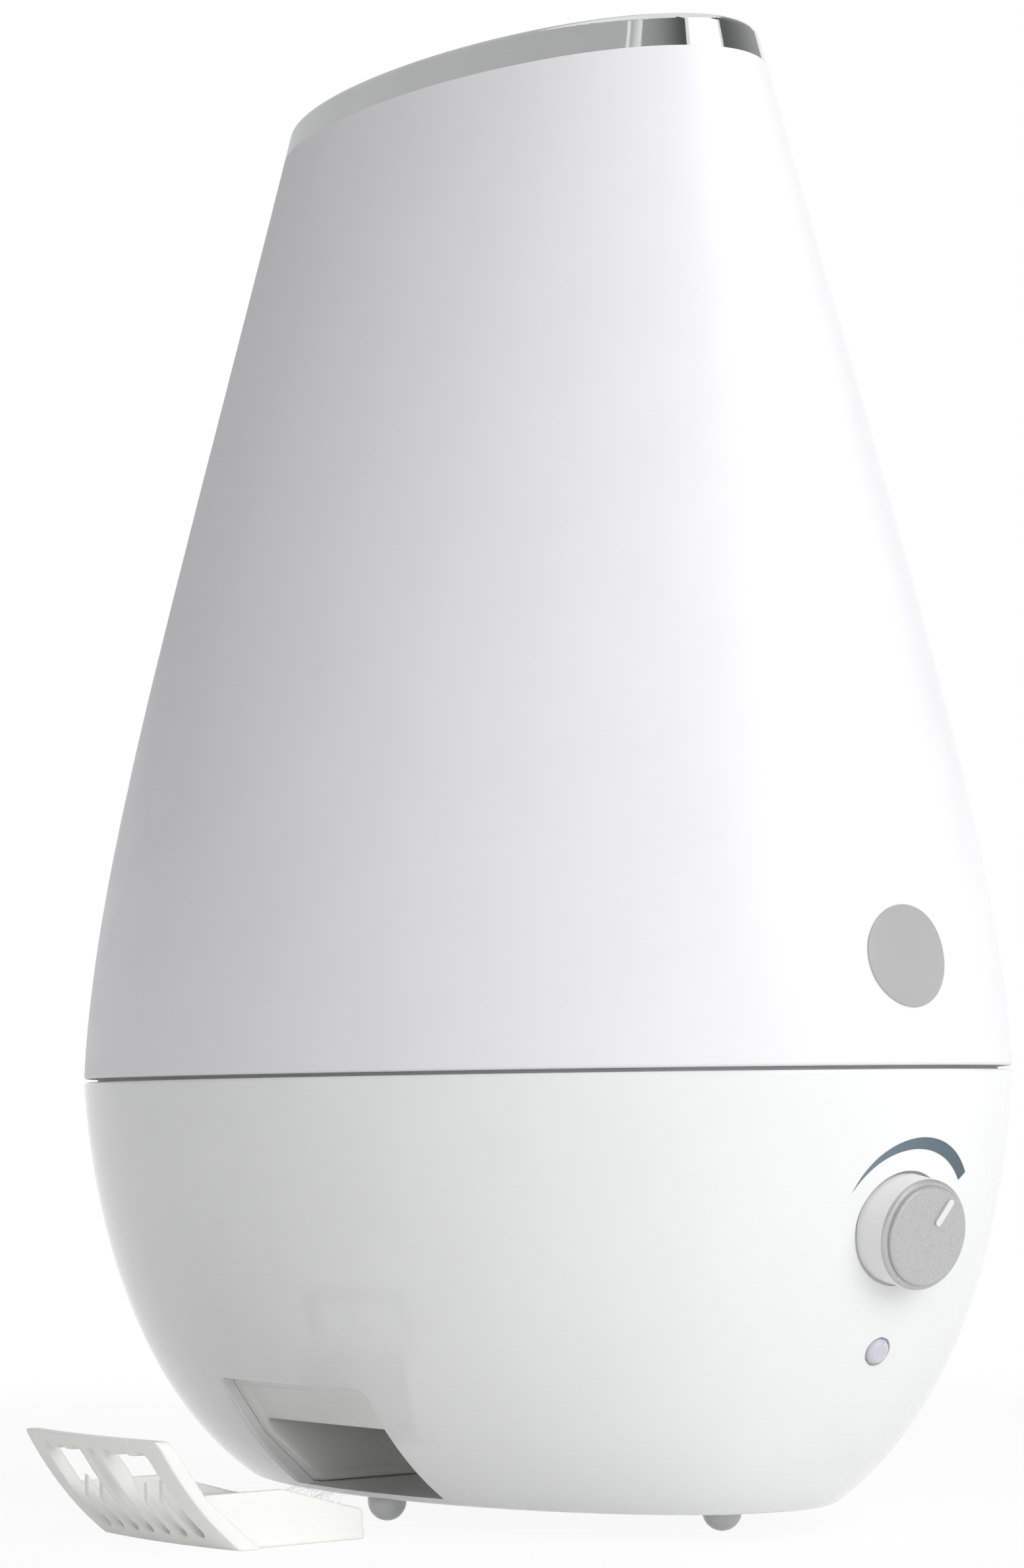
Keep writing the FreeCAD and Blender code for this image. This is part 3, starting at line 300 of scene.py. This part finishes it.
# %% Cards
def card(name, turn_from, turn_to, start_level, end_level):
    """A strip of an upright cylinder. A turn counts from the camera's side to its right."""
    deselect_all()
    bpy.ops.mesh.primitive_cylinder_add(vertices=CARD_STEPS, radius=CARD_RADIUS,
                                        depth=CARD_HIGH - CARD_LOW, end_fill_type="NOTHING",
                                        location=(0, 0, (CARD_LOW + CARD_HIGH) / 2))
    strip = bpy.context.object
    strip.name = name
    bpy.ops.object.transform_apply(location=True)
    bpy.ops.object.mode_set(mode="EDIT")
    mesh = bmesh.from_edit_mesh(strip.data)
    for face in mesh.faces:
        middle = face.calc_center_median()
        turn = math.degrees(math.atan2(middle.y, middle.x)) - CAMERA_SIDE
        turn = (turn + 180.0) % 360.0 - 180.0
        face.select_set(not turn_from < turn < turn_to)
    bmesh.update_edit_mesh(strip.data)
    bpy.ops.mesh.delete(type="FACE")
    deselect_all()
    strip.data.materials.append(card_finish(name, turn_from, turn_to, start_level, end_level))
    for way in ("camera", "diffuse", "transmission", "volume_scatter", "shadow"):
        setattr(strip, "visible_" + way, False)
    print(name, "from", turn_from, "to", turn_to, "degrees")


card("grey_card", -178, -36, 0.60, 0.52)
card("cream_card", -35, -27, 0.52, 0.95)
card("dark_card", -26, 14, 0.40, 0.10)
card("bright_card", 18, 62, 1.5, 1.5)
card("far_dark_card", 66, 150, 0.14, 0.40)


# %% [markdown]
# ## Finishes
#
# Every plastic here starts from the same recipe: one colour that drifts by a percent or two, as
# pigment does in a moulding, a gloss that drifts with it, and a very shallow ripple. Only the
# amounts differ. The patterns read Object coordinates, in metres, so a scale of 100 gives a
# pattern of about a centimetre.

# %% Pattern helpers
def object_place(tree):
    return add_node(tree, "ShaderNodeTexCoord").outputs["Object"]


def noise(tree, scale, detail=2.0):
    """A soft, cloudy pattern. A higher scale makes it finer."""
    pattern = add_node(tree, "ShaderNodeTexNoise")
    pattern.inputs["Scale"].default_value = scale
    pattern.inputs["Detail"].default_value = detail
    tree.links.new(object_place(tree), pattern.inputs["Vector"])
    return pattern.outputs["Fac"]


NOISE_LOW = 0.3                       # nearly all of a noise pattern lies between these
NOISE_HIGH = 0.7


def spread(tree, pattern, low, high):
    """Stretch a noise pattern between two numbers."""
    stretch = add_node(tree, "ShaderNodeMapRange")
    stretch.inputs["From Min"].default_value = NOISE_LOW
    stretch.inputs["From Max"].default_value = NOISE_HIGH
    tree.links.new(pattern, stretch.inputs["Value"])
    stretch.inputs["To Min"].default_value = low
    stretch.inputs["To Max"].default_value = high
    return stretch.outputs["Result"]


def between(tree, pattern, first, second):
    """Colour that runs from one to another with a pattern."""
    mix = add_node(tree, "ShaderNodeMix", data_type="RGBA")
    tree.links.new(pattern, mix.inputs[0])
    mix.inputs[6].default_value = (*first, 1.0)
    mix.inputs[7].default_value = (*second, 1.0)
    return mix.outputs[2]


# %% Surface helpers
def ripple(tree, skin, pattern, depth):
    """Raise the surface along a pattern by a depth in metres."""
    bump = add_node(tree, "ShaderNodeBump")
    bump.inputs["Distance"].default_value = depth
    bump.inputs["Strength"].default_value = 1.0
    tree.links.new(pattern, bump.inputs["Height"])
    tree.links.new(bump.outputs[0], skin.inputs["Normal"])


def finish_from(name, **settings):
    """Start a finish with one Principled surface and its fixed settings."""
    material, tree = new_node_tree(name)
    skin = add_node(tree, "ShaderNodeBsdfPrincipled")
    for socket, value in settings.items():
        skin.inputs[socket.replace("_", " ")].default_value = value
    tree.links.new(skin.outputs[0], add_node(tree, "ShaderNodeOutputMaterial").inputs["Surface"])
    return material, tree, skin


# %% Moulded plastic
CLOUD_SCALE = 40.0                    # colour drifts over a few centimetres
GLOSS_SCALE = 90.0                    # and gloss over one


def moulded_plastic(name, colour, rough_low, rough_high, drift=0.98, ripple_depth=2e-6,
                    ripple_scale=180.0, **settings):
    """A finish whose colour drifts between a share of itself and the whole."""
    material, tree, skin = finish_from(name, **settings)
    cloud = spread(tree, noise(tree, CLOUD_SCALE), 0.0, 1.0)
    deeper = tuple(channel * drift for channel in colour)
    tree.links.new(between(tree, cloud, deeper, colour), skin.inputs["Base Color"])
    tree.links.new(spread(tree, noise(tree, GLOSS_SCALE), rough_low, rough_high),
                   skin.inputs["Roughness"])
    ripple(tree, skin, noise(tree, ripple_scale, 3.0), ripple_depth)
    return material


def coat(piece, material):
    """Leave a piece with this one material."""
    piece.data.materials.clear()
    piece.data.materials.append(material)


def dress(material, *names):
    """Give pieces of the frame a finish."""
    for name in names:
        coat(nodes[name], material)
    print(material.name, "on", ", ".join(names))


# %% [markdown]
# ### Tank and base
#
# The tank is blow-moulded: a satin skin with a breath of lilac in its white. The base is
# injection-moulded in a polished tool, so it is glossy enough to mirror the drawer beside it.

# %% Tank and base finishes
tank_white = moulded_plastic("tank_white", (0.85, 0.845, 0.875), 0.34, 0.40)
base_white = moulded_plastic("base_white", (0.86, 0.865, 0.865), 0.05, 0.09, ripple_depth=6e-7)
inner_white = moulded_plastic("inner_white", (0.78, 0.78, 0.77), 0.42, 0.52)
dress(tank_white, "tank_shell", "top_cover", "mist_nozzle")
dress(base_white, "base_shell", "bottom_cover", "foot_left", "foot_right", "foot_front",
      "foot_rear")
dress(inner_white, "water_basin", "float_ring", "float_clip", "tank_floor",
      "mist_chimney", "tank_cap", "valve_plunger")

# %% [markdown]
# ### Chrome band
#
# A thin metal coat on a moulded ring. It is a mirror, but not a perfect one: the plastic under
# the coat ripples a little, which bends the reflections into the wavy streaks of real chrome.

# %% Chrome finish
CHROME_RIPPLE = 9e-5

chrome, tree, skin = finish_from("chrome", Metallic=1.0)
tree.links.new(between(tree, spread(tree, noise(tree, 60.0), 0, 1), (0.70, 0.72, 0.72),
                       (0.74, 0.755, 0.75)), skin.inputs["Base Color"])
tree.links.new(spread(tree, noise(tree, 300.0), 0.03, 0.07), skin.inputs["Roughness"])
ripple(tree, skin, noise(tree, 55.0, 1.0), CHROME_RIPPLE)
dress(chrome, "chrome_ring")

# %% [markdown]
# ### Knob
#
# Silver paint over plastic: fine aluminium flakes lie in a clear binder, so the colour sparkles
# from grain to grain while the gloss stays satin. The face and its rim have a full coat, the
# skirt behind them a thin, pale one. The top of the raised pointer gets a lighter colour, a
# painted highlight along its ridge.

# %% Zones along the knob's axis
KNOB_TILT = math.radians(10.467)      # its face looks down a little, as the base's wall does
KNOB_PLACE = Vector((0.0, -0.131243, 0.0622))
KNOB_OUT = Vector((0.0, -math.cos(KNOB_TILT), -math.sin(KNOB_TILT)))
KNOB_UP = Vector((0.0, -math.sin(KNOB_TILT), math.cos(KNOB_TILT)))
PAINT_LINE = 0.0060                   # metres out from the wall, where the silver starts
POINTER_FOOT = 0.0081                 # just above the flat of the face
ZONE_FADE = 0.0001


def beyond(tree, distance):
    """1 on what stands further out along the knob's axis than a distance, and 0 below it."""
    middle = add_node(tree, "ShaderNodeVectorMath", operation="DOT_PRODUCT")
    tree.links.new(object_place(tree), middle.inputs[0])
    middle.inputs[1].default_value = KNOB_OUT
    step = add_node(tree, "ShaderNodeMapRange")
    tree.links.new(middle.outputs["Value"], step.inputs["Value"])
    start = KNOB_PLACE.dot(KNOB_OUT) + distance
    step.inputs["From Min"].default_value = start
    step.inputs["From Max"].default_value = start + ZONE_FADE
    return step.outputs["Result"]


def mixed(tree, share, first, second):
    """Colour that runs from one socket's to another's."""
    mix = add_node(tree, "ShaderNodeMix", data_type="RGBA")
    for socket, source in ((0, share), (6, first), (7, second)):
        tree.links.new(source, mix.inputs[socket])
    return mix.outputs[2]


# %% Silver paint
PAINT_METAL = 0.55                    # share of bare metal in it

knob_silver, tree, skin = finish_from("knob_silver")
flakes = spread(tree, noise(tree, 5200.0, 1.0), 0.0, 1.0)
pearl = between(tree, flakes, (0.80, 0.80, 0.795), (0.87, 0.87, 0.865))
silver = between(tree, flakes, (0.42, 0.42, 0.42), (0.60, 0.60, 0.60))
# the pointer's top, beyond POINTER_FOOT, takes this lighter colour: a painted highlight along its
# ridge
pointer_highlight = between(tree, flakes, (0.80, 0.80, 0.80), (0.86, 0.86, 0.86))
painted = mixed(tree, beyond(tree, PAINT_LINE), pearl, silver)
tree.links.new(mixed(tree, beyond(tree, POINTER_FOOT), painted, pointer_highlight), skin.inputs["Base Color"])
tree.links.new(do_math(tree, "MULTIPLY", beyond(tree, PAINT_LINE), PAINT_METAL),
               skin.inputs["Metallic"])
tree.links.new(spread(tree, noise(tree, 900.0), 0.36, 0.46), skin.inputs["Roughness"])
ripple(tree, skin, noise(tree, 4200.0, 2.0), 1.2e-5)
dress(knob_silver, "knob_body", "knob_face")

# %% [markdown]
# ### Pilot light
#
# The lens is milky, slightly lilac plastic, lit from behind only when the humidifier runs.

# %% Lens finish
lens_milk, tree, skin = finish_from("lens_milk", Coat_Weight=0.6, Coat_Roughness=0.12)
tree.links.new(between(tree, spread(tree, noise(tree, 700.0), 0, 1), (0.56, 0.55, 0.63),
                       (0.62, 0.61, 0.68)), skin.inputs["Base Color"])
tree.links.new(spread(tree, noise(tree, 500.0), 0.30, 0.40), skin.inputs["Roughness"])
dress(lens_milk, "led_lens", "led")

# %% [markdown]
# ### Working parts inside
#
# They show only when the tank is lifted or the drawer mouth is looked into, but each has its own
# stuff: rubber, bare steel, cast aluminium, ceramic, green circuit board, black plastic.

# %% Inner finishes
INNER_FINISHES = (
    # name, colour, roughness from and to, drift, ripple's depth and scale, metal, pieces
    ("rubber_grey", (0.33, 0.33, 0.34), 0.62, 0.75, 0.9, 2e-5, 900.0, 0.0, ("cord_gland",)),
    ("seal_rubber", (0.80, 0.80, 0.76), 0.55, 0.68, 0.95, 1e-5, 700.0, 0.0,
     ("transducer_seal", "cap_seal", "valve_seal")),
    ("black_plastic", (0.03, 0.03, 0.032), 0.40, 0.55, 0.85, 1e-5, 1200.0, 0.0,
     ("reed_switch", "blower_housing", "blower_cover", "blower_motor", "blower_impeller",
      "potentiometer", "transformer", "capacitors")),
    ("ceramic", (0.74, 0.71, 0.62), 0.5, 0.6, 0.93, 4e-6, 1500.0, 0.0, ("transducer_disc",)),
    ("steel", (0.58, 0.58, 0.57), 0.25, 0.42, 0.85, 4e-6, 2500.0, 1.0,
     ("cover_screws", "deck_screws", "transducer_screws", "pot_shaft", "valve_spring")),
    ("aluminium", (0.66, 0.66, 0.68), 0.38, 0.5, 0.9, 8e-6, 1800.0, 1.0,
     ("transducer_holder", "heat_sink")),
    ("board_green", (0.05, 0.22, 0.10), 0.3, 0.45, 0.55, 1.5e-5, 500.0, 0.0,
     ("control_board", "driver_board", "power_board")),
)
for name, colour, low, high, drift, depth, scale, metal, pieces in INNER_FINISHES:
    dress(moulded_plastic(name, colour, low, high, drift, depth, scale, Metallic=metal), *pieces)


# %% [markdown]
# ## Blank badge
#
# Low on the front of the tank sits a thin round badge, satin grey and left blank. It has to
# follow the tank's curve, so a flat disc gets rings of faces by insetting, is pressed onto the
# tank with a shrinkwrap, and is given its thickness only then.

# %% Flat pieces on curved ones
PRINT_LIFT = 0.00002                  # metres, so that two faces never share a place


def press_on(piece, target, way):
    """Push a flat piece along a direction onto another one, a hair above its surface."""
    holder = way.to_track_quat("-Z", "Y").to_matrix().to_4x4()
    piece.data.transform(holder.inverted())
    piece.matrix_world = holder
    apply_modifier(piece, "SHRINKWRAP", "press", wrap_method="PROJECT", use_project_z=True,
                   use_negative_direction=True, use_positive_direction=False, target=target,
                   offset=PRINT_LIFT)
    bpy.ops.object.transform_apply(location=True, rotation=True, scale=True)


def face_towards(piece, way):
    """Flip an open sheet whose faces look away from a direction."""
    pick(piece)
    bpy.ops.object.mode_set(mode="EDIT")
    bpy.ops.mesh.select_all(action="SELECT")
    bpy.ops.mesh.normals_make_consistent(inside=False)
    mesh = bmesh.from_edit_mesh(piece.data)
    total = sum((face.normal * face.calc_area() for face in mesh.faces), Vector())
    if total.dot(way) < 0:
        bpy.ops.mesh.flip_normals()
    bpy.ops.object.mode_set(mode="OBJECT")


def thicken(piece, depth, rim_round=0.0):
    """Give a sheet its thickness, round its rim, and smooth its shading."""
    apply_modifier(piece, "SOLIDIFY", "thickness", thickness=depth, offset=1.0)
    if rim_round:
        apply_modifier(piece, "BEVEL", "rim", width=rim_round, segments=2,
                       limit_method="ANGLE", angle_limit=math.radians(50))
    bpy.ops.object.shade_smooth_by_angle(angle=math.radians(35))


def settle(piece, material, body):
    """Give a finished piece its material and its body."""
    coat(piece, material)
    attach(piece, body)
    print(piece.name, "faces", len(piece.data.polygons))


# %% Badge
BADGE_RADIUS = 0.011
BADGE_PLACE = Vector((0.0006, -0.145, 0.1202))     # just in front of the tank's wall
BADGE_THICKNESS = 0.00035
BADGE_RIM_ROUND = 0.00012
BADGE_STEPS = 96
BADGE_RINGS = 6
TOWARDS_TANK = Vector((0, 1, 0))

deselect_all()
bpy.ops.mesh.primitive_circle_add(vertices=BADGE_STEPS, radius=BADGE_RADIUS, fill_type="NGON",
                                  location=BADGE_PLACE, rotation=(math.pi / 2, 0, 0))
badge = bpy.context.object
badge.name = "blank_badge"
bpy.ops.object.transform_apply(location=True, rotation=True)
bpy.ops.object.mode_set(mode="EDIT")
for _ in range(BADGE_RINGS):
    bpy.ops.mesh.inset(thickness=BADGE_RADIUS / (BADGE_RINGS + 1))
bpy.ops.mesh.poke()
deselect_all()
press_on(badge, nodes["tank_shell"], TOWARDS_TANK)
face_towards(badge, -TOWARDS_TANK)
thicken(badge, BADGE_THICKNESS, BADGE_RIM_ROUND)
badge_grey = moulded_plastic("badge_grey", (0.41, 0.41, 0.41), 0.32, 0.40, drift=0.97,
                             ripple_scale=900.0)
settle(badge, badge_grey, "tank")

# %% [markdown]
# ## Volume mark
#
# A printed crescent round the knob grows from a point at the low setting to a broad end at the
# high one. It is the room between two circles that meet at the point. The outer circle is drawn
# on the knob's own plane and cut off at its two ends by bisecting. Its edge is then extruded row
# by row towards the inner circle. The strip is pressed onto the base and given the thickness of
# a coat of ink.

# %% Volume mark
MARK_TIP = (-0.0144, 0.0077)          # across and up, from the knob's axis
MARK_END_TURN = math.radians(31.0)    # of the broad end, up from level
OUTER_CIRCLE = (0.003215, 0.000732, 0.018943)      # across, up and radius
INNER_CIRCLE = (0.001661, -0.001123, 0.018325)
MARK_ROWS = 4
MARK_STEPS = 240                      # of a full turn
MARK_START_OUT = 0.01                 # clear of the wall, before it is pressed on
MARK_MERGE = 0.00002                  # joins the rows where they meet at the tip
INK_THICKNESS = 0.00006


def on_knob_plane(across, up, out=0.0):
    return KNOB_PLACE + Vector((across, 0, 0)) + KNOB_UP * up + KNOB_OUT * out


def inner_mate(point):
    """Where the ray from the knob's axis to a point crosses the inner circle."""
    across = point.x
    up = (point - KNOB_PLACE).dot(KNOB_UP)
    reach = math.hypot(across, up)
    ray = Vector((across / reach, up / reach))
    middle = Vector(INNER_CIRCLE[:2])
    along = ray.dot(middle)
    half_chord = math.sqrt(INNER_CIRCLE[2] ** 2 - middle.length_squared + along ** 2)
    share = min(1.0, (along + half_chord) / reach)
    return on_knob_plane(across * share, up * share, (point - KNOB_PLACE).dot(KNOB_OUT))


# %% Outer edge
deselect_all()
bpy.ops.mesh.primitive_circle_add(vertices=MARK_STEPS, radius=OUTER_CIRCLE[2],
                                  fill_type="NOTHING",
                                  location=on_knob_plane(*OUTER_CIRCLE[:2], MARK_START_OUT),
                                  rotation=(math.pi / 2 + KNOB_TILT, 0, 0))
mark = bpy.context.object
mark.name = "volume_mark"
bpy.ops.object.transform_apply(location=True, rotation=True)
bpy.ops.object.mode_set(mode="EDIT")
end_way = on_knob_plane(-math.sin(MARK_END_TURN), math.cos(MARK_END_TURN)) - KNOB_PLACE
tip_turn = math.atan2(MARK_TIP[1], MARK_TIP[0])
tip_way = on_knob_plane(math.sin(tip_turn), -math.cos(tip_turn)) - KNOB_PLACE
for cut_place, cut_way in ((KNOB_PLACE, end_way), (on_knob_plane(*MARK_TIP), tip_way)):
    bpy.ops.mesh.select_all(action="SELECT")
    bpy.ops.mesh.bisect(plane_co=cut_place, plane_no=cut_way, clear_inner=True)
print("points along the mark's outer edge", len(bmesh.from_edit_mesh(mark.data).verts))

# %% Strip between the circles
bpy.ops.mesh.select_all(action="SELECT")
for row in range(MARK_ROWS):
    bpy.ops.mesh.extrude_edges_move()
    mesh = bmesh.from_edit_mesh(mark.data)
    for vertex in mesh.verts:
        if vertex.select:
            vertex.co = vertex.co.lerp(inner_mate(vertex.co), 1 / (MARK_ROWS - row))
    bmesh.update_edit_mesh(mark.data)
bpy.ops.mesh.select_all(action="SELECT")
bpy.ops.mesh.remove_doubles(threshold=MARK_MERGE)
deselect_all()
press_on(mark, nodes["base_shell"], -KNOB_OUT)
face_towards(mark, KNOB_OUT)
thicken(mark, INK_THICKNESS)

# %% Ink
mark_ink, tree, skin = finish_from("mark_ink")
along = add_node(tree, "ShaderNodeSeparateXYZ")
tree.links.new(object_place(tree), along.inputs[0])
grow = add_node(tree, "ShaderNodeMapRange")
tree.links.new(along.outputs["X"], grow.inputs["Value"])
grow.inputs["From Min"].default_value = MARK_TIP[0]
grow.inputs["From Max"].default_value = OUTER_CIRCLE[2]
tree.links.new(between(tree, grow.outputs["Result"], (0.16, 0.215, 0.25), (0.055, 0.09, 0.115)),
               skin.inputs["Base Color"])
tree.links.new(spread(tree, noise(tree, 1500.0), 0.30, 0.42), skin.inputs["Roughness"])
settle(mark, mark_ink, "base")


# %% [markdown]
# ## Drawer
#
# The drawer is moulded in a warm white plastic, and every edge of it has a round. The frame's
# solid has the right shape with sharp edges. Bevels would have to meet at hundreds of short
# edges round the slots, so a voxel remesh turns a copy of the solid into one even skin instead,
# smoothing rolls that skin over the edges, and a decimate thins the faces out again. The sleeve
# that the drawer slides into is softened in the same way. It then swells by a hair, which closes
# the seam that smoothing opens against the base.

# %% Softened copies
MERGE_DISTANCE = 0.00001
SHADING_WEIGHT = 80                   # large faces decide how the skin is shaded


def merged_copy(node, name):
    """A copy of a frame piece with its loose triangles joined."""
    deselect_all()
    piece = bpy.data.objects.new(name, nodes[node].data.copy())
    bpy.context.scene.collection.objects.link(piece)
    pick(piece)
    bpy.ops.object.mode_set(mode="EDIT")
    bpy.ops.mesh.select_all(action="SELECT")
    bpy.ops.mesh.remove_doubles(threshold=MERGE_DISTANCE)
    bpy.ops.object.mode_set(mode="OBJECT")
    if piece.data.has_custom_normals:
        bpy.ops.mesh.customdata_custom_splitnormals_clear()
    return piece


def softened(node, name, grain, passes, kept_share):
    """A copy of a frame piece with every edge rolled over by a few grains."""
    piece = merged_copy(node, name)
    apply_modifier(piece, "REMESH", "skin", mode="VOXEL", voxel_size=grain)
    apply_modifier(piece, "SMOOTH", "soften", factor=0.5, iterations=passes)
    apply_modifier(piece, "DECIMATE", "thin", ratio=kept_share)
    bpy.ops.object.shade_smooth()
    apply_modifier(piece, "WEIGHTED_NORMAL", "even_shading", mode="FACE_AREA",
                   weight=SHADING_WEIGHT)
    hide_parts(node)
    return piece


# %% Tray
tray = softened("filter_tray", "drawer_tray", grain=0.00042, passes=7, kept_share=0.5)
tray_white = moulded_plastic("tray_white", (0.94, 0.94, 0.905), 0.30, 0.38, drift=0.99,
                             ripple_scale=300.0)
settle(tray, tray_white, "drawer")

# %% Sleeve
SEAM_SWELL = 0.00015

sleeve = softened("filter_duct", "drawer_sleeve", grain=0.0005, passes=6, kept_share=0.35)
apply_modifier(sleeve, "DISPLACE", "close_seam", strength=SEAM_SWELL, mid_level=0.0)
sleeve_white = moulded_plastic("sleeve_white", (0.93, 0.93, 0.92), 0.36, 0.44, drift=0.99)
settle(sleeve, sleeve_white, "base")

# %% [markdown]
# ### Filter mat
#
# The mat is a cut piece of fleece: loose fibres felted into a springy sheet. The block is
# remeshed, its sides are pulled in between the corners, its faces are made uneven, and then
# short fibres are strewn over it, with a few long ones that have worked loose at its tail.

# %% Filter mat
MAT_LOW, MAT_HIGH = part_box("filter_pad")
MAT_MIDDLE = (MAT_LOW + MAT_HIGH) / 2
MAT_HALF = (MAT_HIGH - MAT_LOW) / 2
MAT_GRAIN = 0.0005
RIM_SHARE = 0.82                      # of the block's thickness, where the mat is pinched
CROWN_SHARE = 0.12                    # and what its middle has more
WIDTH_SHARE = 0.985
WAIST_SHARE = 0.02                    # of the width, drawn in between the corners
FELT_GRAIN = 0.0016
FELT_DEPTH = 0.0006

mat = merged_copy("filter_pad", "filter_mat")
apply_modifier(mat, "REMESH", "skin", mode="VOXEL", voxel_size=MAT_GRAIN)
for vertex in mat.data.vertices:
    offset = vertex.co - MAT_MIDDLE
    across = offset.y / MAT_HALF.y
    along = offset.x / MAT_HALF.x
    crown = max(0.0, (1 - across ** 4) * (1 - along ** 4))
    vertex.co.z = MAT_MIDDLE.z + offset.z * (RIM_SHARE + CROWN_SHARE * crown)
    vertex.co.y = MAT_MIDDLE.y + offset.y * (WIDTH_SHARE - WAIST_SHARE * (1 - along ** 2))
fleece = bpy.data.textures.new("fleece", "CLOUDS")
fleece.noise_scale = FELT_GRAIN
fleece.noise_depth = 3
apply_modifier(mat, "DISPLACE", "felt", texture=fleece, texture_coords="LOCAL",
               strength=FELT_DEPTH, mid_level=0.6)
bpy.ops.object.shade_smooth()
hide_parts("filter_pad")
print("mat", [round(1000 * size, 1) for size in MAT_HIGH - MAT_LOW], "mm")

# %% Fleece finish
THREAD_SCALE = 220.0
THREAD_TWIST = 14.0                   # how far the threads stray from straight bands
THREAD_RIPPLE = 1.5e-4

fleece_grey, tree, skin = finish_from("fleece_grey", Sheen_Weight=0.5, Sheen_Roughness=0.4)
threads = add_node(tree, "ShaderNodeTexWave", wave_type="BANDS")
threads.inputs["Scale"].default_value = THREAD_SCALE
threads.inputs["Distortion"].default_value = THREAD_TWIST
threads.inputs["Detail"].default_value = 4.0
tree.links.new(object_place(tree), threads.inputs["Vector"])
tree.links.new(between(tree, threads.outputs["Fac"], (0.72, 0.73, 0.73), (0.90, 0.90, 0.91)),
               skin.inputs["Base Color"])
tree.links.new(spread(tree, noise(tree, 2500.0, 4.0), 0.85, 1.0), skin.inputs["Roughness"])
ripple(tree, skin, threads.outputs["Fac"], THREAD_RIPPLE)
settle(mat, fleece_grey, "drawer")

# %% One fibre
FIBRE_RADIUS = 0.00003
FIBRE_POINTS = 7
FIBRE_SAG = 1.6                       # how soon a fibre that starts upwards comes down
strew = random.Random(12)


def fibre(curve, start, heading, lift, length, curl):
    """One hair: a short run of points that wanders as it goes."""
    spline = curve.splines.new("NURBS")
    spline.points.add(FIBRE_POINTS - 1)
    point = start.copy()
    for index in range(FIBRE_POINTS):
        spline.points[index].co = (*point, 1.0)
        heading += strew.uniform(-curl, curl)
        rise = lift * (1 - FIBRE_SAG * index / FIBRE_POINTS)
        way = Vector((math.cos(heading), math.sin(heading), rise))
        point = point + way * (length / FIBRE_POINTS)
    spline.order_u = 3
    spline.use_endpoint_u = True


# %% Fibres all over, and a few loose ones at the tail
SHORT_FIBRES = 420
LOOSE_FIBRES = 22
LOOSE_BAND = (-0.024, 0.006)          # across the tail, where they have worked loose
MAT_TOP = MAT_MIDDLE.z + MAT_HALF.z * 0.93

hairs = bpy.data.curves.new("hairs", "CURVE")
hairs.dimensions = "3D"
hairs.bevel_depth = FIBRE_RADIUS
hairs.bevel_resolution = 0
hairs.resolution_u = 2
for _ in range(SHORT_FIBRES):
    start = Vector((strew.uniform(MAT_LOW.x + 0.004, MAT_HIGH.x - 0.003),
                    strew.uniform(MAT_LOW.y + 0.003, MAT_HIGH.y - 0.003), MAT_TOP))
    fibre(hairs, start, heading=strew.uniform(0, 2 * math.pi), lift=strew.uniform(0.1, 0.5),
          length=strew.uniform(0.003, 0.007), curl=0.5)
for _ in range(LOOSE_FIBRES):
    start = Vector((MAT_HIGH.x - 0.002, strew.uniform(*LOOSE_BAND), MAT_TOP))
    fibre(hairs, start, heading=strew.uniform(-1.6, 0.6), lift=strew.uniform(0.5, 1.1),
          length=strew.uniform(0.006, 0.011), curl=0.7)
fibres = bpy.data.objects.new("mat_fibres", hairs)
bpy.context.scene.collection.objects.link(fibres)
pick(fibres)
bpy.ops.object.convert(target="MESH")
fibres = bpy.context.object
settle(fibres, fleece_grey, "drawer")

# %% Finish
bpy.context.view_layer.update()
